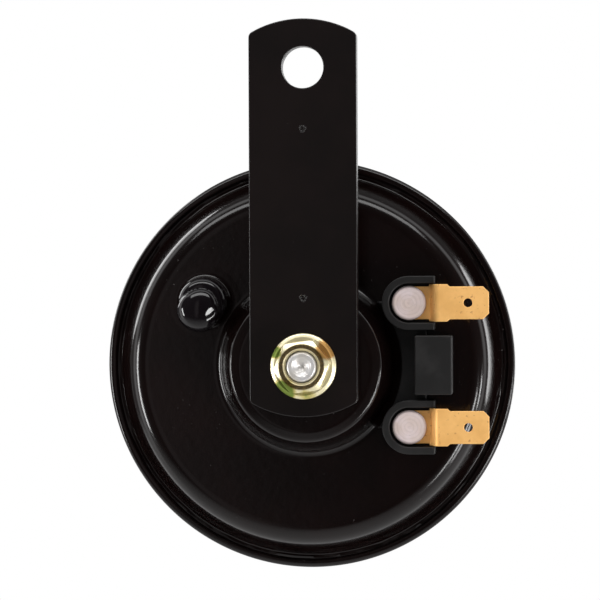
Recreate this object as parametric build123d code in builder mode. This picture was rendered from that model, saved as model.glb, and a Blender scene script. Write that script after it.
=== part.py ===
from build123d import *
import os
from math import atan2, cos, degrees, hypot, radians, sin

# Disc horn with its strap bracket, in millimetres.
# The origin is the centre of the bracket's hole, on the bracket's outer face.
# +Z runs up the bracket, and the horn's axis runs along Y. Its rear faces -Y.
# A height is measured rearwards (-Y) along the horn's axis from the back of the rim.

# Bracket: a strap of spring leaves clamped on the rear of the hub
leaf_names = ["inner", "middle", "outer"]
leaf_thickness = 1.5
bracket_width = 20.6
bracket_end_radius = 20.0
bracket_corner_radius = 1.2
hole_to_stud = 57.0
hole_to_end = 9.3
stud_to_end = 9.7
bracket_hole_diameter = 8.0
bracket_edge_radius = 0.25
stake_mark_heights = [13.0, 45.3]
stake_mark_radius = 0.85
stake_mark_depth = 0.35

# Rear housing, pressed from one sheet: each bend has a radius or place and a height
sheet = 1.0
rim_radius = 40.0
ring_sheet = 0.7
ring_lip_width = 1.5
ring_rear_bend = 0.9
ring_front_bend = 1.0
wall_foot_inset = 2.7
wall_slope = 3.0
crest_height = 5.7
crest_slope = 3.0
face_height = 8.0
hub_foot_radius = 17.0
hub_wall_slope = 2.3
hub_edge_height = 16.9
hub_edge_slope = 1.9
hub_height = 17.5
flange_bend = 0.8
crest_bend = 1.1
face_bend = 3.2
hub_foot_bend = 1.5
hub_edge_bend = 1.1
hub_top_bend = 2.0

# Boss of the adjusting screw, sealed after the horn was tuned
boss_hub_gap = 3.1
boss_z = 12.3
boss_foot_radius = 5.4
boss_top_radius = 4.0
boss_height = 14.0
boss_bend = 1.2
boss_neck_radius = 2.9
boss_neck_length = 3.0
screw_radius = 1.95
screw_proud = 0.5
screw_tip_radius = 1.2
screw_tip_length = 1.0
screw_slot_width = 0.7
screw_slot_depth = 0.8
seal_radius = 3.9
seal_height = 1.9
seal_run_across = 2.56
seal_run_down = 5.76
seal_run_lift = 0.5
seal_run_width = 4.6

# Stud, nut and pole core
stud_radius = 3.0
stud_hole_clearance = 0.15
stud_height = 28.3
stud_chamfer = 0.3
stud_centre_radius = 1.9
stud_centre_depth = 1.3
nut_height = 6.0
nut_across_flats = 9.6
nut_across_corners = 10.8
nut_flange_radius = 6.3
nut_flange_edge = 0.9
nut_cone_rise = 0.9
nut_top_radius = 4.15
nut_countersink_radius = 3.5
nut_turn = 7.7
core_radius = 5.0
core_length = 7.5
core_chamfer = 0.3
thread_clearance = 0.05

# Coil on its bobbin, held in the hub by the yoke plate
bobbin_wall = 1.0
bobbin_flange = 0.9
bobbin_rear_inset = 2.5
bobbin_front_inset = 2.4
bobbin_clearance = 0.1
winding_inset = 0.5
yoke_overlap = 1.5
yoke_thickness = 1.2
yoke_bore_radius = 6.4
lead_radius = 0.3
lead_hole_radius = 0.6
lead_turns = [31.0, 75.0]

# Rim stack: gasket, diaphragm and gasket, crimped between the flange and the ring
gasket_thickness = 0.5
diaphragm_thickness = 0.35
stack_gap = 0.3
gasket_width = 3.5
diaphragm_flat_width = 4.5
diaphragm_centre_radius = 9.0
diaphragm_dish = 1.2
diaphragm_bend = 6.0

# Armature, clamped on the diaphragm, with the tone disc on its stem
air_gap = 1.0
nose_radius = 4.7
collar_radius = 8.2
collar_height = 3.9
collar_thickness = 1.3
armature_radius = 6.0
stem_radius = 2.5
stem_clearance = 0.05
clamp_washer_radius = 8.0
clamp_washer_thickness = 0.8
spacer_radius = 4.5
spacer_length = 2.0
tone_disc_thickness = 1.0
tone_disc_gap = 4.5
tone_disc_seat_radius = 9.5
tone_disc_land_radius = 13.5
tone_disc_land_depth = 1.85
tone_disc_rim_width = 3.5
tone_disc_rim_rise = 1.4
tone_disc_bend = 1.6
lock_washer_radius = 5.0
lock_washer_thickness = 0.8
stem_head_radius = 3.5
stem_head_height = 1.0

# Terminals: 6.3 mm blades riveted on a moulded base
terminal_hub_gap = 2.8
terminal_z = 11.95
terminal_thickness = 0.8
foot_width = 6.4
shoulder_width = 7.2
blade_width = 6.3
blade_tip_reach = 15.4
blade_tip_chamfer = 1.1
shoulder_reach = 7.4
shoulder_taper = 0.5
riser_foot_reach = 4.7
riser_lean = 1.0
blade_rise = 3.2
terminal_inner_bend = 0.3
blade_hole_radius = 0.85
blade_hole_to_tip = 4.0
base_floor_height = 12.0
base_strip_drop = 1.4
collar_wall = 1.4
collar_outer_radius = 5.2
collar_reach = 4.9
collar_rise = 2.7
hub_gap = 1.25
block_offset = 1.1
block_length = 7.2
block_half_height = 5.7
block_rise = 3.7
base_edge_radius = 0.3
spigot_radius = 2.3
spigot_clearance = 0.1
rivet_radius = 1.5
rivet_clearance = 0.08
rivet_head_radius = 3.3
rivet_head_height = 1.2
rivet_tail_radius = 2.4
rivet_tail_height = 0.8
inner_insulator_thickness = 0.8
inner_insulator_width = 6.8
insulator_gap = 0.7
rivet_washer_radius = 3.0
rivet_washer_thickness = 0.5

# Breaker: a spring leaf over a fixed arm, in a riveted stack under the bracket
breaker_x = -3.0
breaker_yoke_gap = 4.7
breaker_width = 4.6
breaker_back = 5.0
breaker_pad_reach = 5.0
breaker_rivet_place = 2.8
breaker_rivet_radius = 1.1
breaker_rivet_head_radius = 2.1
breaker_rivet_head_height = 0.9
breaker_rivet_clearance = 0.3
rear_pad_thickness = 2.4
leaf_spring_thickness = 0.3
middle_pad_thickness = 0.8
arm_thickness = 0.8
front_pad_thickness = 0.7
leaf_reach = 13.8
arm_past_screw = 2.4
contact_place = 11.5
contact_radius = 1.4
tab_half_width = 2.0
tab_overlap = 1.9
flex_lead_radius = 0.6
flex_lead_bend = 3.0
lead_end_gap = 0.1
arm_lead_swell = 1.2
arm_lead_turns = [62.0, 26.0, -4.0]

# Radii and places that follow from the sizes above
ring_lip_radius = rim_radius - ring_lip_width
wall_foot_radius = rim_radius - wall_foot_inset
crest_radius = wall_foot_radius - wall_slope
face_radius = crest_radius - crest_slope
hub_edge_radius = hub_foot_radius - hub_wall_slope
hub_top_radius = hub_edge_radius - hub_edge_slope
stack_radius = rim_radius - ring_sheet - stack_gap
ring_opening_radius = stack_radius - gasket_width
diaphragm_flat_radius = stack_radius - diaphragm_flat_width
tone_disc_radius = ring_opening_radius - tone_disc_gap
tone_disc_rim_radius = tone_disc_radius - tone_disc_rim_width
bobbin_rear_radius = hub_edge_radius - bobbin_rear_inset
bobbin_front_radius = hub_foot_radius - bobbin_front_inset
winding_radius = bobbin_rear_radius - winding_inset
yoke_radius = hub_foot_radius + yoke_overlap
boss_x = -hub_foot_radius - boss_hub_gap
breaker_z = yoke_radius + breaker_yoke_gap
breaker_hole_radius = breaker_rivet_radius + rivet_clearance
terminal_x = hub_foot_radius + terminal_hub_gap
collar_end_x = terminal_x + collar_reach
riser_foot_x = terminal_x + riser_foot_reach
riser_top_x = riser_foot_x + riser_lean
shoulder_end_x = terminal_x + shoulder_reach
blade_tip_x = terminal_x + blade_tip_reach
block_left_x = terminal_x + block_offset
block_right_x = block_left_x + block_length

# Levels that follow
bracket_height = hub_height + len(leaf_names) * leaf_thickness
flange_height = -ring_sheet
flange_radius = rim_radius - ring_sheet - (ring_rear_bend - ring_sheet)
rear_gasket_height = flange_height - sheet
diaphragm_height = rear_gasket_height - gasket_thickness
front_gasket_height = diaphragm_height - diaphragm_thickness
ring_web_height = front_gasket_height - gasket_thickness
ring_front_height = ring_web_height - ring_sheet
inner_face = face_height - sheet
hub_inner_top = hub_height - sheet
core_face = hub_inner_top - core_length
centre_height = diaphragm_height - diaphragm_dish
front_washer_height = centre_height - diaphragm_thickness
spacer_height = front_washer_height - clamp_washer_thickness
tone_disc_height = spacer_height - spacer_length
lock_washer_height = tone_disc_height - tone_disc_thickness
stem_head_base = lock_washer_height - lock_washer_thickness
armature_foot = centre_height + clamp_washer_thickness
foot_top = base_floor_height + terminal_thickness
blade_height = base_floor_height + blade_rise
base_strip_height = base_floor_height - base_strip_drop
collar_top_height = base_floor_height + collar_rise
block_top_height = base_floor_height + block_rise
insulator_height = inner_face - inner_insulator_thickness
rivet_tail_base = insulator_height - rivet_washer_thickness
leaf_height = inner_face - rear_pad_thickness
middle_pad_height = leaf_height - leaf_spring_thickness
arm_height = middle_pad_height - middle_pad_thickness
front_pad_height = arm_height - arm_thickness
breaker_tail_base = front_pad_height - front_pad_thickness
contact_height = middle_pad_thickness / 2

# Planes: local x is +X and local y is +Z on the horn's plane, and heights run along -Y
horn = Plane(origin=(0, bracket_height, -hole_to_stud), x_dir=(1, 0, 0), z_dir=(0, -1, 0))


def section_at(x, z):
    """Radius and height plane through the line along the horn's axis at (x, z)."""
    return Plane(origin=horn.from_local_coords((x, z, 0)), x_dir=(1, 0, 0), z_dir=(0, 0, -1))


def axis_at(x, z):
    """Line along the horn's axis through (x, z)."""
    return Axis(horn.from_local_coords((x, z, 0)), (0, -1, 0))


def place(x, z, height):
    """Point of the model for a place on the horn and a height."""
    return horn.from_local_coords((x, z, height))


def polar(radius, turn):
    """Place on the horn at a radius and an angle from +X."""
    return radius * cos(radians(turn)), radius * sin(radians(turn))


def draw_boss_outline():
    """Half section of the boss and the sheet round its foot, from the boss's own axis."""
    FilletPolyline(
        (0, inner_face),
        (boss_foot_radius + 2 * boss_bend, inner_face),
        (boss_foot_radius + 2 * boss_bend, face_height),
        (boss_foot_radius, face_height),
        (boss_top_radius, boss_height),
        (0, boss_height),
        radius=[0, 0, boss_bend, boss_bend],
    )
    Line((0, boss_height), (0, inner_face))


section = section_at(0, 0)
horn_axis = axis_at(0, 0)
screw_reach = hypot(boss_x - breaker_x, boss_z - breaker_z)
screw_way = ((boss_x - breaker_x) / screw_reach, (boss_z - breaker_z) / screw_reach)
breaker = Plane(
    origin=horn.from_local_coords((breaker_x, breaker_z, 0)),
    x_dir=(screw_way[0], 0, screw_way[1]),
    z_dir=(0, -1, 0),
)
axis_along = -(breaker_x * screw_way[0] + breaker_z * screw_way[1])
axis_across = breaker_x * screw_way[1] - breaker_z * screw_way[0]
terminal_places = {"upper": terminal_z, "lower": -terminal_z}

# Bracket leaves, each with its two holes. The outer one has two stake marks.
for index, leaf_name in enumerate(leaf_names):
    with BuildPart() as bracket_leaf:
        with BuildSketch(horn.offset(hub_height + index * leaf_thickness)):
            with BuildLine():
                half = bracket_width / 2
                end_rise = bracket_end_radius - (bracket_end_radius**2 - half**2) ** 0.5
                top = hole_to_stud + hole_to_end
                ThreePointArc((-half, top - end_rise), (0, top), (half, top - end_rise))
                Line((half, top - end_rise), (half, end_rise - stud_to_end))
                low_corner = end_rise - stud_to_end
                ThreePointArc((half, low_corner), (0, -stud_to_end), (-half, low_corner))
                Line((-half, end_rise - stud_to_end), (-half, top - end_rise))
            make_face()
            fillet(vertices(), radius=bracket_corner_radius)
            Circle(stud_radius + stud_hole_clearance, mode=Mode.SUBTRACT)
            with Locations((0, hole_to_stud)):
                Circle(bracket_hole_diameter / 2, mode=Mode.SUBTRACT)
        extrude(amount=leaf_thickness)
        if leaf_name == "outer":
            rear_face = faces().sort_by(Axis.Y)[0]
            fillet(rear_face.outer_wire().edges(), radius=bracket_edge_radius)
            with BuildSketch(horn.offset(bracket_height)):
                with Locations(*[(0, mark) for mark in stake_mark_heights]):
                    RegularPolygon(stake_mark_radius, 3, rotation=90)
            extrude(amount=-stake_mark_depth, taper=40, mode=Mode.SUBTRACT)
    bracket_leaf.part.label = "bracket_leaf_" + leaf_name
    export_step(bracket_leaf.part, "parts/bracket_leaf_" + leaf_name + ".step")

# Rear housing: a bent sheet turned about the axis, with the boss of the adjusting screw
with BuildPart() as rear_housing:
    with BuildSketch(section):
        with BuildLine():
            FilletPolyline(
                (flange_radius, flange_height),
                (wall_foot_radius, flange_height),
                (crest_radius, crest_height),
                (face_radius, face_height),
                (hub_foot_radius, face_height),
                (hub_edge_radius, hub_edge_height),
                (hub_top_radius, hub_height),
                (stud_radius + stud_hole_clearance, hub_height),
                radius=[flange_bend, crest_bend, face_bend, hub_foot_bend, hub_edge_bend, hub_top_bend],
            )
            offset(amount=sheet, side=Side.LEFT, closed=True)
        make_face()
    revolve(axis=horn_axis)
    with BuildSketch(section_at(boss_x, boss_z)):
        with BuildLine():
            draw_boss_outline()
        make_face()
    revolve(axis=axis_at(boss_x, boss_z))
    with BuildSketch(section_at(boss_x, boss_z)):
        with BuildLine():
            Polyline(
                (0, inner_face - sheet),
                (boss_foot_radius - sheet, inner_face - sheet),
                (boss_foot_radius - sheet, face_height),
                (boss_top_radius - sheet, boss_height - sheet),
                (0, boss_height - sheet),
                close=True,
            )
        make_face()
    revolve(axis=axis_at(boss_x, boss_z), mode=Mode.SUBTRACT)
    with BuildSketch(horn.offset(boss_height - sheet - boss_neck_length)):
        with Locations((boss_x, boss_z)):
            Circle(boss_neck_radius)
    extrude(amount=boss_neck_length + sheet / 2)
    with BuildSketch(horn.offset(boss_height)):
        with Locations((boss_x, boss_z)):
            Circle(screw_radius + thread_clearance)
    extrude(amount=-2 * sheet - boss_neck_length, mode=Mode.SUBTRACT)
    with BuildSketch(horn.offset(face_height)):
        with Locations(*[(terminal_x, z) for z in terminal_places.values()]):
            Circle(spigot_radius + spigot_clearance)
    extrude(amount=-2 * sheet, mode=Mode.SUBTRACT)
    with BuildSketch(breaker.offset(face_height)):
        with Locations((-breaker_rivet_place, 0), (breaker_rivet_place, 0)):
            Circle(breaker_hole_radius)
    extrude(amount=-2 * sheet, mode=Mode.SUBTRACT)
rear_housing.part.label = "rear_housing"
export_step(rear_housing.part, "parts/rear_housing.step")

# Front ring, rolled over the housing's flange at the rear
with BuildPart() as front_ring:
    with BuildSketch(section):
        with BuildLine():
            FilletPolyline(
                (ring_opening_radius, ring_front_height),
                (rim_radius, ring_front_height),
                (rim_radius, 0),
                (ring_lip_radius, 0),
                radius=[ring_front_bend, ring_rear_bend],
            )
            offset(amount=ring_sheet, side=Side.LEFT, closed=True)
        make_face()
    revolve(axis=horn_axis)
front_ring.part.label = "front_ring"
export_step(front_ring.part, "parts/front_ring.step")

# Gaskets on both faces of the diaphragm's rim
gasket_levels = {"rear": diaphragm_height, "front": ring_web_height}
for side_name, level in gasket_levels.items():
    with BuildPart() as gasket:
        with BuildSketch(horn.offset(level)):
            Circle(stack_radius)
            Circle(ring_opening_radius, mode=Mode.SUBTRACT)
        extrude(amount=gasket_thickness)
    gasket.part.label = "gasket_" + side_name
    export_step(gasket.part, "parts/gasket_" + side_name + ".step")

# Diaphragm: a thin steel disc, dished forwards to the flat that the armature clamps
with BuildPart() as diaphragm:
    with BuildSketch(section):
        with BuildLine():
            FilletPolyline(
                (stack_radius, diaphragm_height),
                (diaphragm_flat_radius, diaphragm_height),
                (diaphragm_centre_radius, centre_height),
                (stem_radius + 2 * stem_clearance, centre_height),
                radius=diaphragm_bend,
            )
            offset(amount=diaphragm_thickness, side=Side.LEFT, closed=True)
        make_face()
    revolve(axis=horn_axis)
diaphragm.part.label = "diaphragm"
export_step(diaphragm.part, "parts/diaphragm.step")

# Pole core, whose tail is the stud that carries the bracket and the nut
with BuildPart() as core_stud:
    with BuildSketch(section):
        with BuildLine():
            Polyline(
                (0, core_face),
                (core_radius - core_chamfer, core_face),
                (core_radius, core_face + core_chamfer),
                (core_radius, hub_inner_top),
                (stud_radius, hub_inner_top),
                (stud_radius, stud_height - stud_chamfer),
                (stud_radius - stud_chamfer, stud_height),
                (stud_centre_radius, stud_height),
                (0, stud_height - stud_centre_depth),
                close=True,
            )
        make_face()
    revolve(axis=horn_axis)
core_stud.part.label = "core_stud"
export_step(core_stud.part, "parts/core_stud.step")

# Flange nut: a hexagon with clipped corners on a round flange
with BuildPart() as flange_nut:
    with BuildSketch(horn.offset(bracket_height)):
        RegularPolygon(nut_across_flats / 2, 6, major_radius=False, rotation=nut_turn)
    extrude(amount=nut_height)
    with BuildSketch(section):
        with BuildLine():
            corner = nut_across_corners / 2
            nut_top = bracket_height + nut_height
            Polyline(
                (0, bracket_height),
                (corner, bracket_height),
                (corner, nut_top - (corner - nut_top_radius) / 2),
                (nut_top_radius, nut_top),
                (0, nut_top),
                close=True,
            )
        make_face()
    revolve(axis=horn_axis, mode=Mode.INTERSECT)
    with BuildSketch(section):
        with BuildLine():
            Polyline(
                (0, bracket_height),
                (nut_flange_radius, bracket_height),
                (nut_flange_radius, bracket_height + nut_flange_edge),
                (nut_across_flats / 2, bracket_height + nut_flange_edge + nut_cone_rise),
                (0, bracket_height + nut_flange_edge + nut_cone_rise),
                close=True,
            )
        make_face()
    revolve(axis=horn_axis)
    flange_edges = edges().filter_by(GeomType.CIRCLE).group_by(SortBy.RADIUS)[-1]
    fillet(flange_edges.sort_by(Axis.Y)[0], radius=nut_flange_edge / 3)
    with BuildSketch(section):
        with BuildLine():
            bore = stud_radius + thread_clearance
            Polyline(
                (0, bracket_height),
                (bore, bracket_height),
                (bore, nut_top - (nut_countersink_radius - bore)),
                (nut_countersink_radius, nut_top),
                (0, nut_top),
                close=True,
            )
        make_face()
    revolve(axis=horn_axis, mode=Mode.SUBTRACT)
flange_nut.part.label = "flange_nut"
export_step(flange_nut.part, "parts/flange_nut.step")

# Yoke plate, welded on the inside of the flat face, with a hole for each coil lead
with BuildPart() as yoke_plate:
    with BuildSketch(horn.offset(inner_face)):
        Circle(yoke_radius)
        Circle(yoke_bore_radius, mode=Mode.SUBTRACT)
        for turn in lead_turns:
            with Locations(polar(winding_radius + 2 * lead_radius, turn)):
                Circle(lead_hole_radius, mode=Mode.SUBTRACT)
    extrude(amount=-yoke_thickness)
yoke_plate.part.label = "yoke_plate"
export_step(yoke_plate.part, "parts/yoke_plate.step")

# Bobbin on the core and the winding between its flanges
bobbin_bore = core_radius + bobbin_clearance
bobbin_top = hub_inner_top - bobbin_clearance
with BuildPart() as coil_bobbin:
    with BuildSketch(section):
        with BuildLine():
            Polyline(
                (bobbin_bore, inner_face),
                (bobbin_front_radius, inner_face),
                (bobbin_front_radius, inner_face + bobbin_flange),
                (bobbin_bore + bobbin_wall, inner_face + bobbin_flange),
                (bobbin_bore + bobbin_wall, bobbin_top - bobbin_flange),
                (bobbin_rear_radius, bobbin_top - bobbin_flange),
                (bobbin_rear_radius, bobbin_top),
                (bobbin_bore, bobbin_top),
                close=True,
            )
        make_face()
    revolve(axis=horn_axis)
    with BuildSketch(horn.offset(inner_face)):
        for turn in lead_turns:
            with Locations(polar(winding_radius + 2 * lead_radius, turn)):
                Circle(lead_hole_radius)
    extrude(amount=bobbin_flange, mode=Mode.SUBTRACT)
coil_bobbin.part.label = "coil_bobbin"
export_step(coil_bobbin.part, "parts/coil_bobbin.step")

with BuildPart() as coil_winding:
    with BuildSketch(horn.offset(inner_face + bobbin_flange)):
        Circle(winding_radius)
        Circle(bobbin_bore + bobbin_wall, mode=Mode.SUBTRACT)
    extrude(amount=bobbin_top - inner_face - 2 * bobbin_flange)
    fillet(edges().filter_by(GeomType.CIRCLE).group_by(SortBy.RADIUS)[-1], radius=4 * lead_radius)
coil_winding.part.label = "coil_winding"
export_step(coil_winding.part, "parts/coil_winding.step")

# Armature with the stem that carries the tone disc, its front end peened over
with BuildPart() as armature:
    with BuildSketch(section):
        with BuildLine():
            nose_top = core_face - air_gap
            Polyline(
                (0, stem_head_base - stem_head_height),
                (stem_head_radius / 2, stem_head_base - stem_head_height),
                (stem_head_radius, stem_head_base - stem_head_height / 2),
                (stem_head_radius, stem_head_base),
                (stem_radius, stem_head_base),
                (stem_radius, armature_foot),
                (armature_radius, armature_foot),
                (armature_radius, collar_height - collar_thickness),
                (collar_radius, collar_height - collar_thickness),
                (collar_radius, collar_height),
                (nose_radius, collar_height),
                (nose_radius, nose_top),
                (0, nose_top),
                close=True,
            )
        make_face()
    revolve(axis=horn_axis)
armature.part.label = "armature"
export_step(armature.part, "parts/armature.step")

# Washers and the spacer on the stem, as outer radius, rear level and thickness
stem_rings = {
    "clamp_washer_rear": (clamp_washer_radius, armature_foot, clamp_washer_thickness),
    "clamp_washer_front": (clamp_washer_radius, front_washer_height, clamp_washer_thickness),
    "spacer_bush": (spacer_radius, spacer_height, spacer_length),
    "lock_washer": (lock_washer_radius, lock_washer_height, lock_washer_thickness),
}
for ring_name, (outer_radius, level, thickness) in stem_rings.items():
    with BuildPart() as stem_ring:
        with BuildSketch(horn.offset(level)):
            Circle(outer_radius)
            Circle(stem_radius + stem_clearance, mode=Mode.SUBTRACT)
        extrude(amount=-thickness)
    stem_ring.part.label = ring_name
    export_step(stem_ring.part, "parts/" + ring_name + ".step")

# Tone disc: a steel disc with a sunk seat and a rim turned back towards the horn
with BuildPart() as tone_disc:
    with BuildSketch(section):
        with BuildLine():
            land_height = tone_disc_height - tone_disc_land_depth
            FilletPolyline(
                (tone_disc_radius, land_height + tone_disc_rim_rise),
                (tone_disc_rim_radius, land_height),
                (tone_disc_land_radius, land_height),
                (tone_disc_seat_radius, tone_disc_height),
                (stem_radius + stem_clearance, tone_disc_height),
                radius=tone_disc_bend,
            )
            offset(amount=tone_disc_thickness, side=Side.LEFT, closed=True)
        make_face()
    revolve(axis=horn_axis)
tone_disc.part.label = "tone_disc"
export_step(tone_disc.part, "parts/tone_disc.step")

# Terminal base: a U-shaped collar round each terminal, a strip between them and a block
collar_inner_radius = collar_outer_radius - collar_wall
with BuildPart() as terminal_base:
    with BuildSketch(horn.offset(face_height)):
        with Locations(*[(terminal_x, z) for z in terminal_places.values()]):
            Circle(collar_outer_radius)
        for z in terminal_places.values():
            with Locations(((terminal_x + collar_end_x) / 2, z)):
                Rectangle(collar_end_x - terminal_x, 2 * collar_outer_radius)
            with Locations((collar_end_x + collar_outer_radius / 2, z)):
                Rectangle(collar_outer_radius, 2 * collar_outer_radius, mode=Mode.SUBTRACT)
    extrude(amount=collar_top_height - face_height)
    with BuildSketch(horn.offset(base_floor_height)):
        with Locations(*[(terminal_x, z) for z in terminal_places.values()]):
            Circle(collar_inner_radius)
        for z in terminal_places.values():
            with Locations(((terminal_x + collar_end_x) / 2, z)):
                Rectangle(collar_end_x - terminal_x, 2 * collar_inner_radius)
    extrude(amount=collar_top_height - base_floor_height, mode=Mode.SUBTRACT)
    with BuildSketch(horn.offset(face_height)):
        with Locations(((collar_end_x - collar_outer_radius + block_left_x) / 2, 0)):
            Rectangle(block_left_x - collar_end_x + collar_outer_radius + 3 * collar_wall, 2 * terminal_z)
        Circle(hub_foot_radius + hub_gap, mode=Mode.SUBTRACT)
    extrude(amount=base_strip_height - face_height)
    with BuildSketch(horn.offset(face_height)):
        with Locations(((block_left_x + block_right_x) / 2, 0)):
            Rectangle(block_right_x - block_left_x, 2 * block_half_height)
    extrude(amount=block_top_height - face_height)
    top_edges = edges().group_by(Axis.Y)[0]
    chamfer(top_edges, length=base_edge_radius)
    with BuildSketch(horn.offset(inner_face)):
        with Locations(*[(terminal_x, z) for z in terminal_places.values()]):
            Circle(spigot_radius)
    extrude(amount=sheet)
    with BuildSketch(horn.offset(base_floor_height)):
        with Locations(*[(terminal_x, z) for z in terminal_places.values()]):
            Circle(rivet_radius + rivet_clearance)
    extrude(amount=inner_face - base_floor_height, mode=Mode.SUBTRACT)
terminal_base.part.label = "terminal_base"
export_step(terminal_base.part, "parts/terminal_base.step")

# Blade terminals, bent up from the foot under the rivet, and their rivets
for terminal_name, z in terminal_places.items():
    with BuildPart() as terminal:
        with BuildSketch(section_at(0, z)):
            with BuildLine():
                FilletPolyline(
                    (terminal_x - foot_width / 2, base_floor_height),
                    (riser_foot_x, base_floor_height),
                    (riser_top_x, blade_height),
                    (blade_tip_x, blade_height),
                    radius=[terminal_inner_bend + terminal_thickness, terminal_inner_bend],
                )
                offset(amount=terminal_thickness, side=Side.LEFT, closed=True)
            make_face()
        extrude(amount=shoulder_width / 2, both=True)
        with BuildSketch(horn.offset(base_floor_height)):
            with Locations((terminal_x, z)):
                Circle(foot_width / 2)
            with Locations(((terminal_x + riser_foot_x) / 2, z)):
                Rectangle(riser_foot_x - terminal_x, foot_width)
            with BuildLine():
                Polyline(
                    (riser_foot_x - terminal_thickness, z - shoulder_width / 2),
                    (shoulder_end_x, z - shoulder_width / 2),
                    (shoulder_end_x + shoulder_taper, z - blade_width / 2),
                    (blade_tip_x - blade_tip_chamfer, z - blade_width / 2),
                    (blade_tip_x, z - blade_width / 2 + blade_tip_chamfer),
                    (blade_tip_x, z + blade_width / 2 - blade_tip_chamfer),
                    (blade_tip_x - blade_tip_chamfer, z + blade_width / 2),
                    (shoulder_end_x + shoulder_taper, z + blade_width / 2),
                    (shoulder_end_x, z + shoulder_width / 2),
                    (riser_foot_x - terminal_thickness, z + shoulder_width / 2),
                    close=True,
                )
            make_face()
            with Locations((terminal_x, z)):
                Circle(rivet_radius + rivet_clearance, mode=Mode.SUBTRACT)
            with Locations((blade_tip_x - blade_hole_to_tip, z)):
                Circle(blade_hole_radius, mode=Mode.SUBTRACT)
        extrude(amount=2 * (blade_height - base_floor_height), mode=Mode.INTERSECT)
    terminal.part.label = "terminal_" + terminal_name
    export_step(terminal.part, "parts/terminal_" + terminal_name + ".step")

    with BuildPart() as rivet:
        with BuildSketch(section_at(terminal_x, z)):
            with BuildLine():
                FilletPolyline(
                    (0, rivet_tail_base - rivet_tail_height),
                    (rivet_tail_radius, rivet_tail_base - rivet_tail_height),
                    (rivet_tail_radius, rivet_tail_base),
                    (rivet_radius, rivet_tail_base),
                    (rivet_radius, foot_top),
                    (rivet_head_radius, foot_top),
                    (rivet_head_radius, foot_top + rivet_head_height),
                    (0, foot_top + rivet_head_height),
                    radius=[rivet_tail_height / 2, 0, 0, 0, 0, rivet_head_height / 4],
                )
                Line((0, foot_top + rivet_head_height), (0, rivet_tail_base - rivet_tail_height))
            make_face()
        revolve(axis=axis_at(terminal_x, z))
    rivet.part.label = "rivet_" + terminal_name
    export_step(rivet.part, "parts/rivet_" + terminal_name + ".step")

# Insulator under the two rivets, hollowed beside the yoke plate, and the rivets' washers
with BuildPart() as inner_insulator:
    with BuildSketch(horn.offset(inner_face)):
        with Locations((terminal_x, 0)):
            Rectangle(inner_insulator_width, 2 * terminal_z + inner_insulator_width)
        fillet(vertices(), radius=inner_insulator_width / 3)
        Circle(yoke_radius + insulator_gap, mode=Mode.SUBTRACT)
        with Locations(*[(terminal_x, z) for z in terminal_places.values()]):
            Circle(rivet_radius + rivet_clearance, mode=Mode.SUBTRACT)
    extrude(amount=-inner_insulator_thickness)
inner_insulator.part.label = "inner_insulator"
export_step(inner_insulator.part, "parts/inner_insulator.step")

with BuildPart() as rivet_washers:
    with BuildSketch(horn.offset(insulator_height)):
        with Locations(*[(terminal_x, z) for z in terminal_places.values()]):
            Circle(rivet_washer_radius)
            Circle(rivet_radius + rivet_clearance, mode=Mode.SUBTRACT)
    extrude(amount=-rivet_washer_thickness)
rivet_washers.part.label = "rivet_washers"
export_step(rivet_washers.part, "parts/rivet_washers.step")

# Adjusting screw, whose tip bears on the fixed arm
with BuildPart() as adjusting_screw:
    with BuildSketch(section_at(boss_x, boss_z)):
        with BuildLine():
            screw_end = boss_height + screw_proud
            Polyline(
                (0, arm_height),
                (screw_tip_radius, arm_height),
                (screw_tip_radius, arm_height + screw_tip_length),
                (screw_radius, arm_height + 2 * screw_tip_length),
                (screw_radius, screw_end),
                (0, screw_end),
                close=True,
            )
        make_face()
    revolve(axis=axis_at(boss_x, boss_z))
    with BuildSketch(horn.offset(screw_end)):
        with Locations((boss_x, boss_z)):
            Rectangle(3 * screw_radius, screw_slot_width)
    extrude(amount=-screw_slot_depth, mode=Mode.SUBTRACT)
adjusting_screw.part.label = "adjusting_screw"
export_step(adjusting_screw.part, "parts/adjusting_screw.step")

# Sealing compound: a domed lump on the boss that ran down its wall to the flat face
run_top = place(boss_x, boss_z, boss_height + seal_height)
run_foot = place(boss_x + seal_run_across, boss_z - seal_run_down, face_height + seal_run_lift)
run_way = run_foot - run_top
run_side = run_way.cross(Vector(0, -1, 0))
with BuildPart() as screw_seal:
    with BuildSketch(section_at(boss_x, boss_z)):
        with BuildLine():
            FilletPolyline(
                (0, boss_height - boss_bend),
                (seal_radius, boss_height - boss_bend),
                (seal_radius, boss_height + seal_height),
                (0, boss_height + seal_height),
                radius=[0, 0.9 * seal_height],
            )
            Line((0, boss_height + seal_height), (0, boss_height - boss_bend))
        make_face()
    revolve(axis=axis_at(boss_x, boss_z))
    with BuildSketch(Plane(origin=(run_top + run_foot) / 2, x_dir=run_way, z_dir=run_side)):
        with BuildLine():
            FilletPolyline(
                (-run_way.length / 2, 0),
                (-run_way.length / 2, seal_run_width / 2),
                (run_way.length / 2, seal_run_width / 2),
                (run_way.length / 2, 0),
                radius=0.48 * seal_run_width,
            )
            Line((run_way.length / 2, 0), (-run_way.length / 2, 0))
        make_face()
    revolve(axis=Axis(run_top, run_way))
    split(bisect_by=horn.offset(face_height), keep=Keep.TOP)
    with BuildSketch(section_at(boss_x, boss_z)):
        with BuildLine():
            draw_boss_outline()
        make_face()
    revolve(axis=axis_at(boss_x, boss_z), mode=Mode.SUBTRACT)
    with BuildSketch(horn.offset(boss_height)):
        with Locations((boss_x, boss_z)):
            Circle(screw_radius)
    extrude(amount=screw_proud, mode=Mode.SUBTRACT)
screw_seal.part.label = "screw_seal"
export_step(screw_seal.part, "parts/screw_seal.step")

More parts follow.
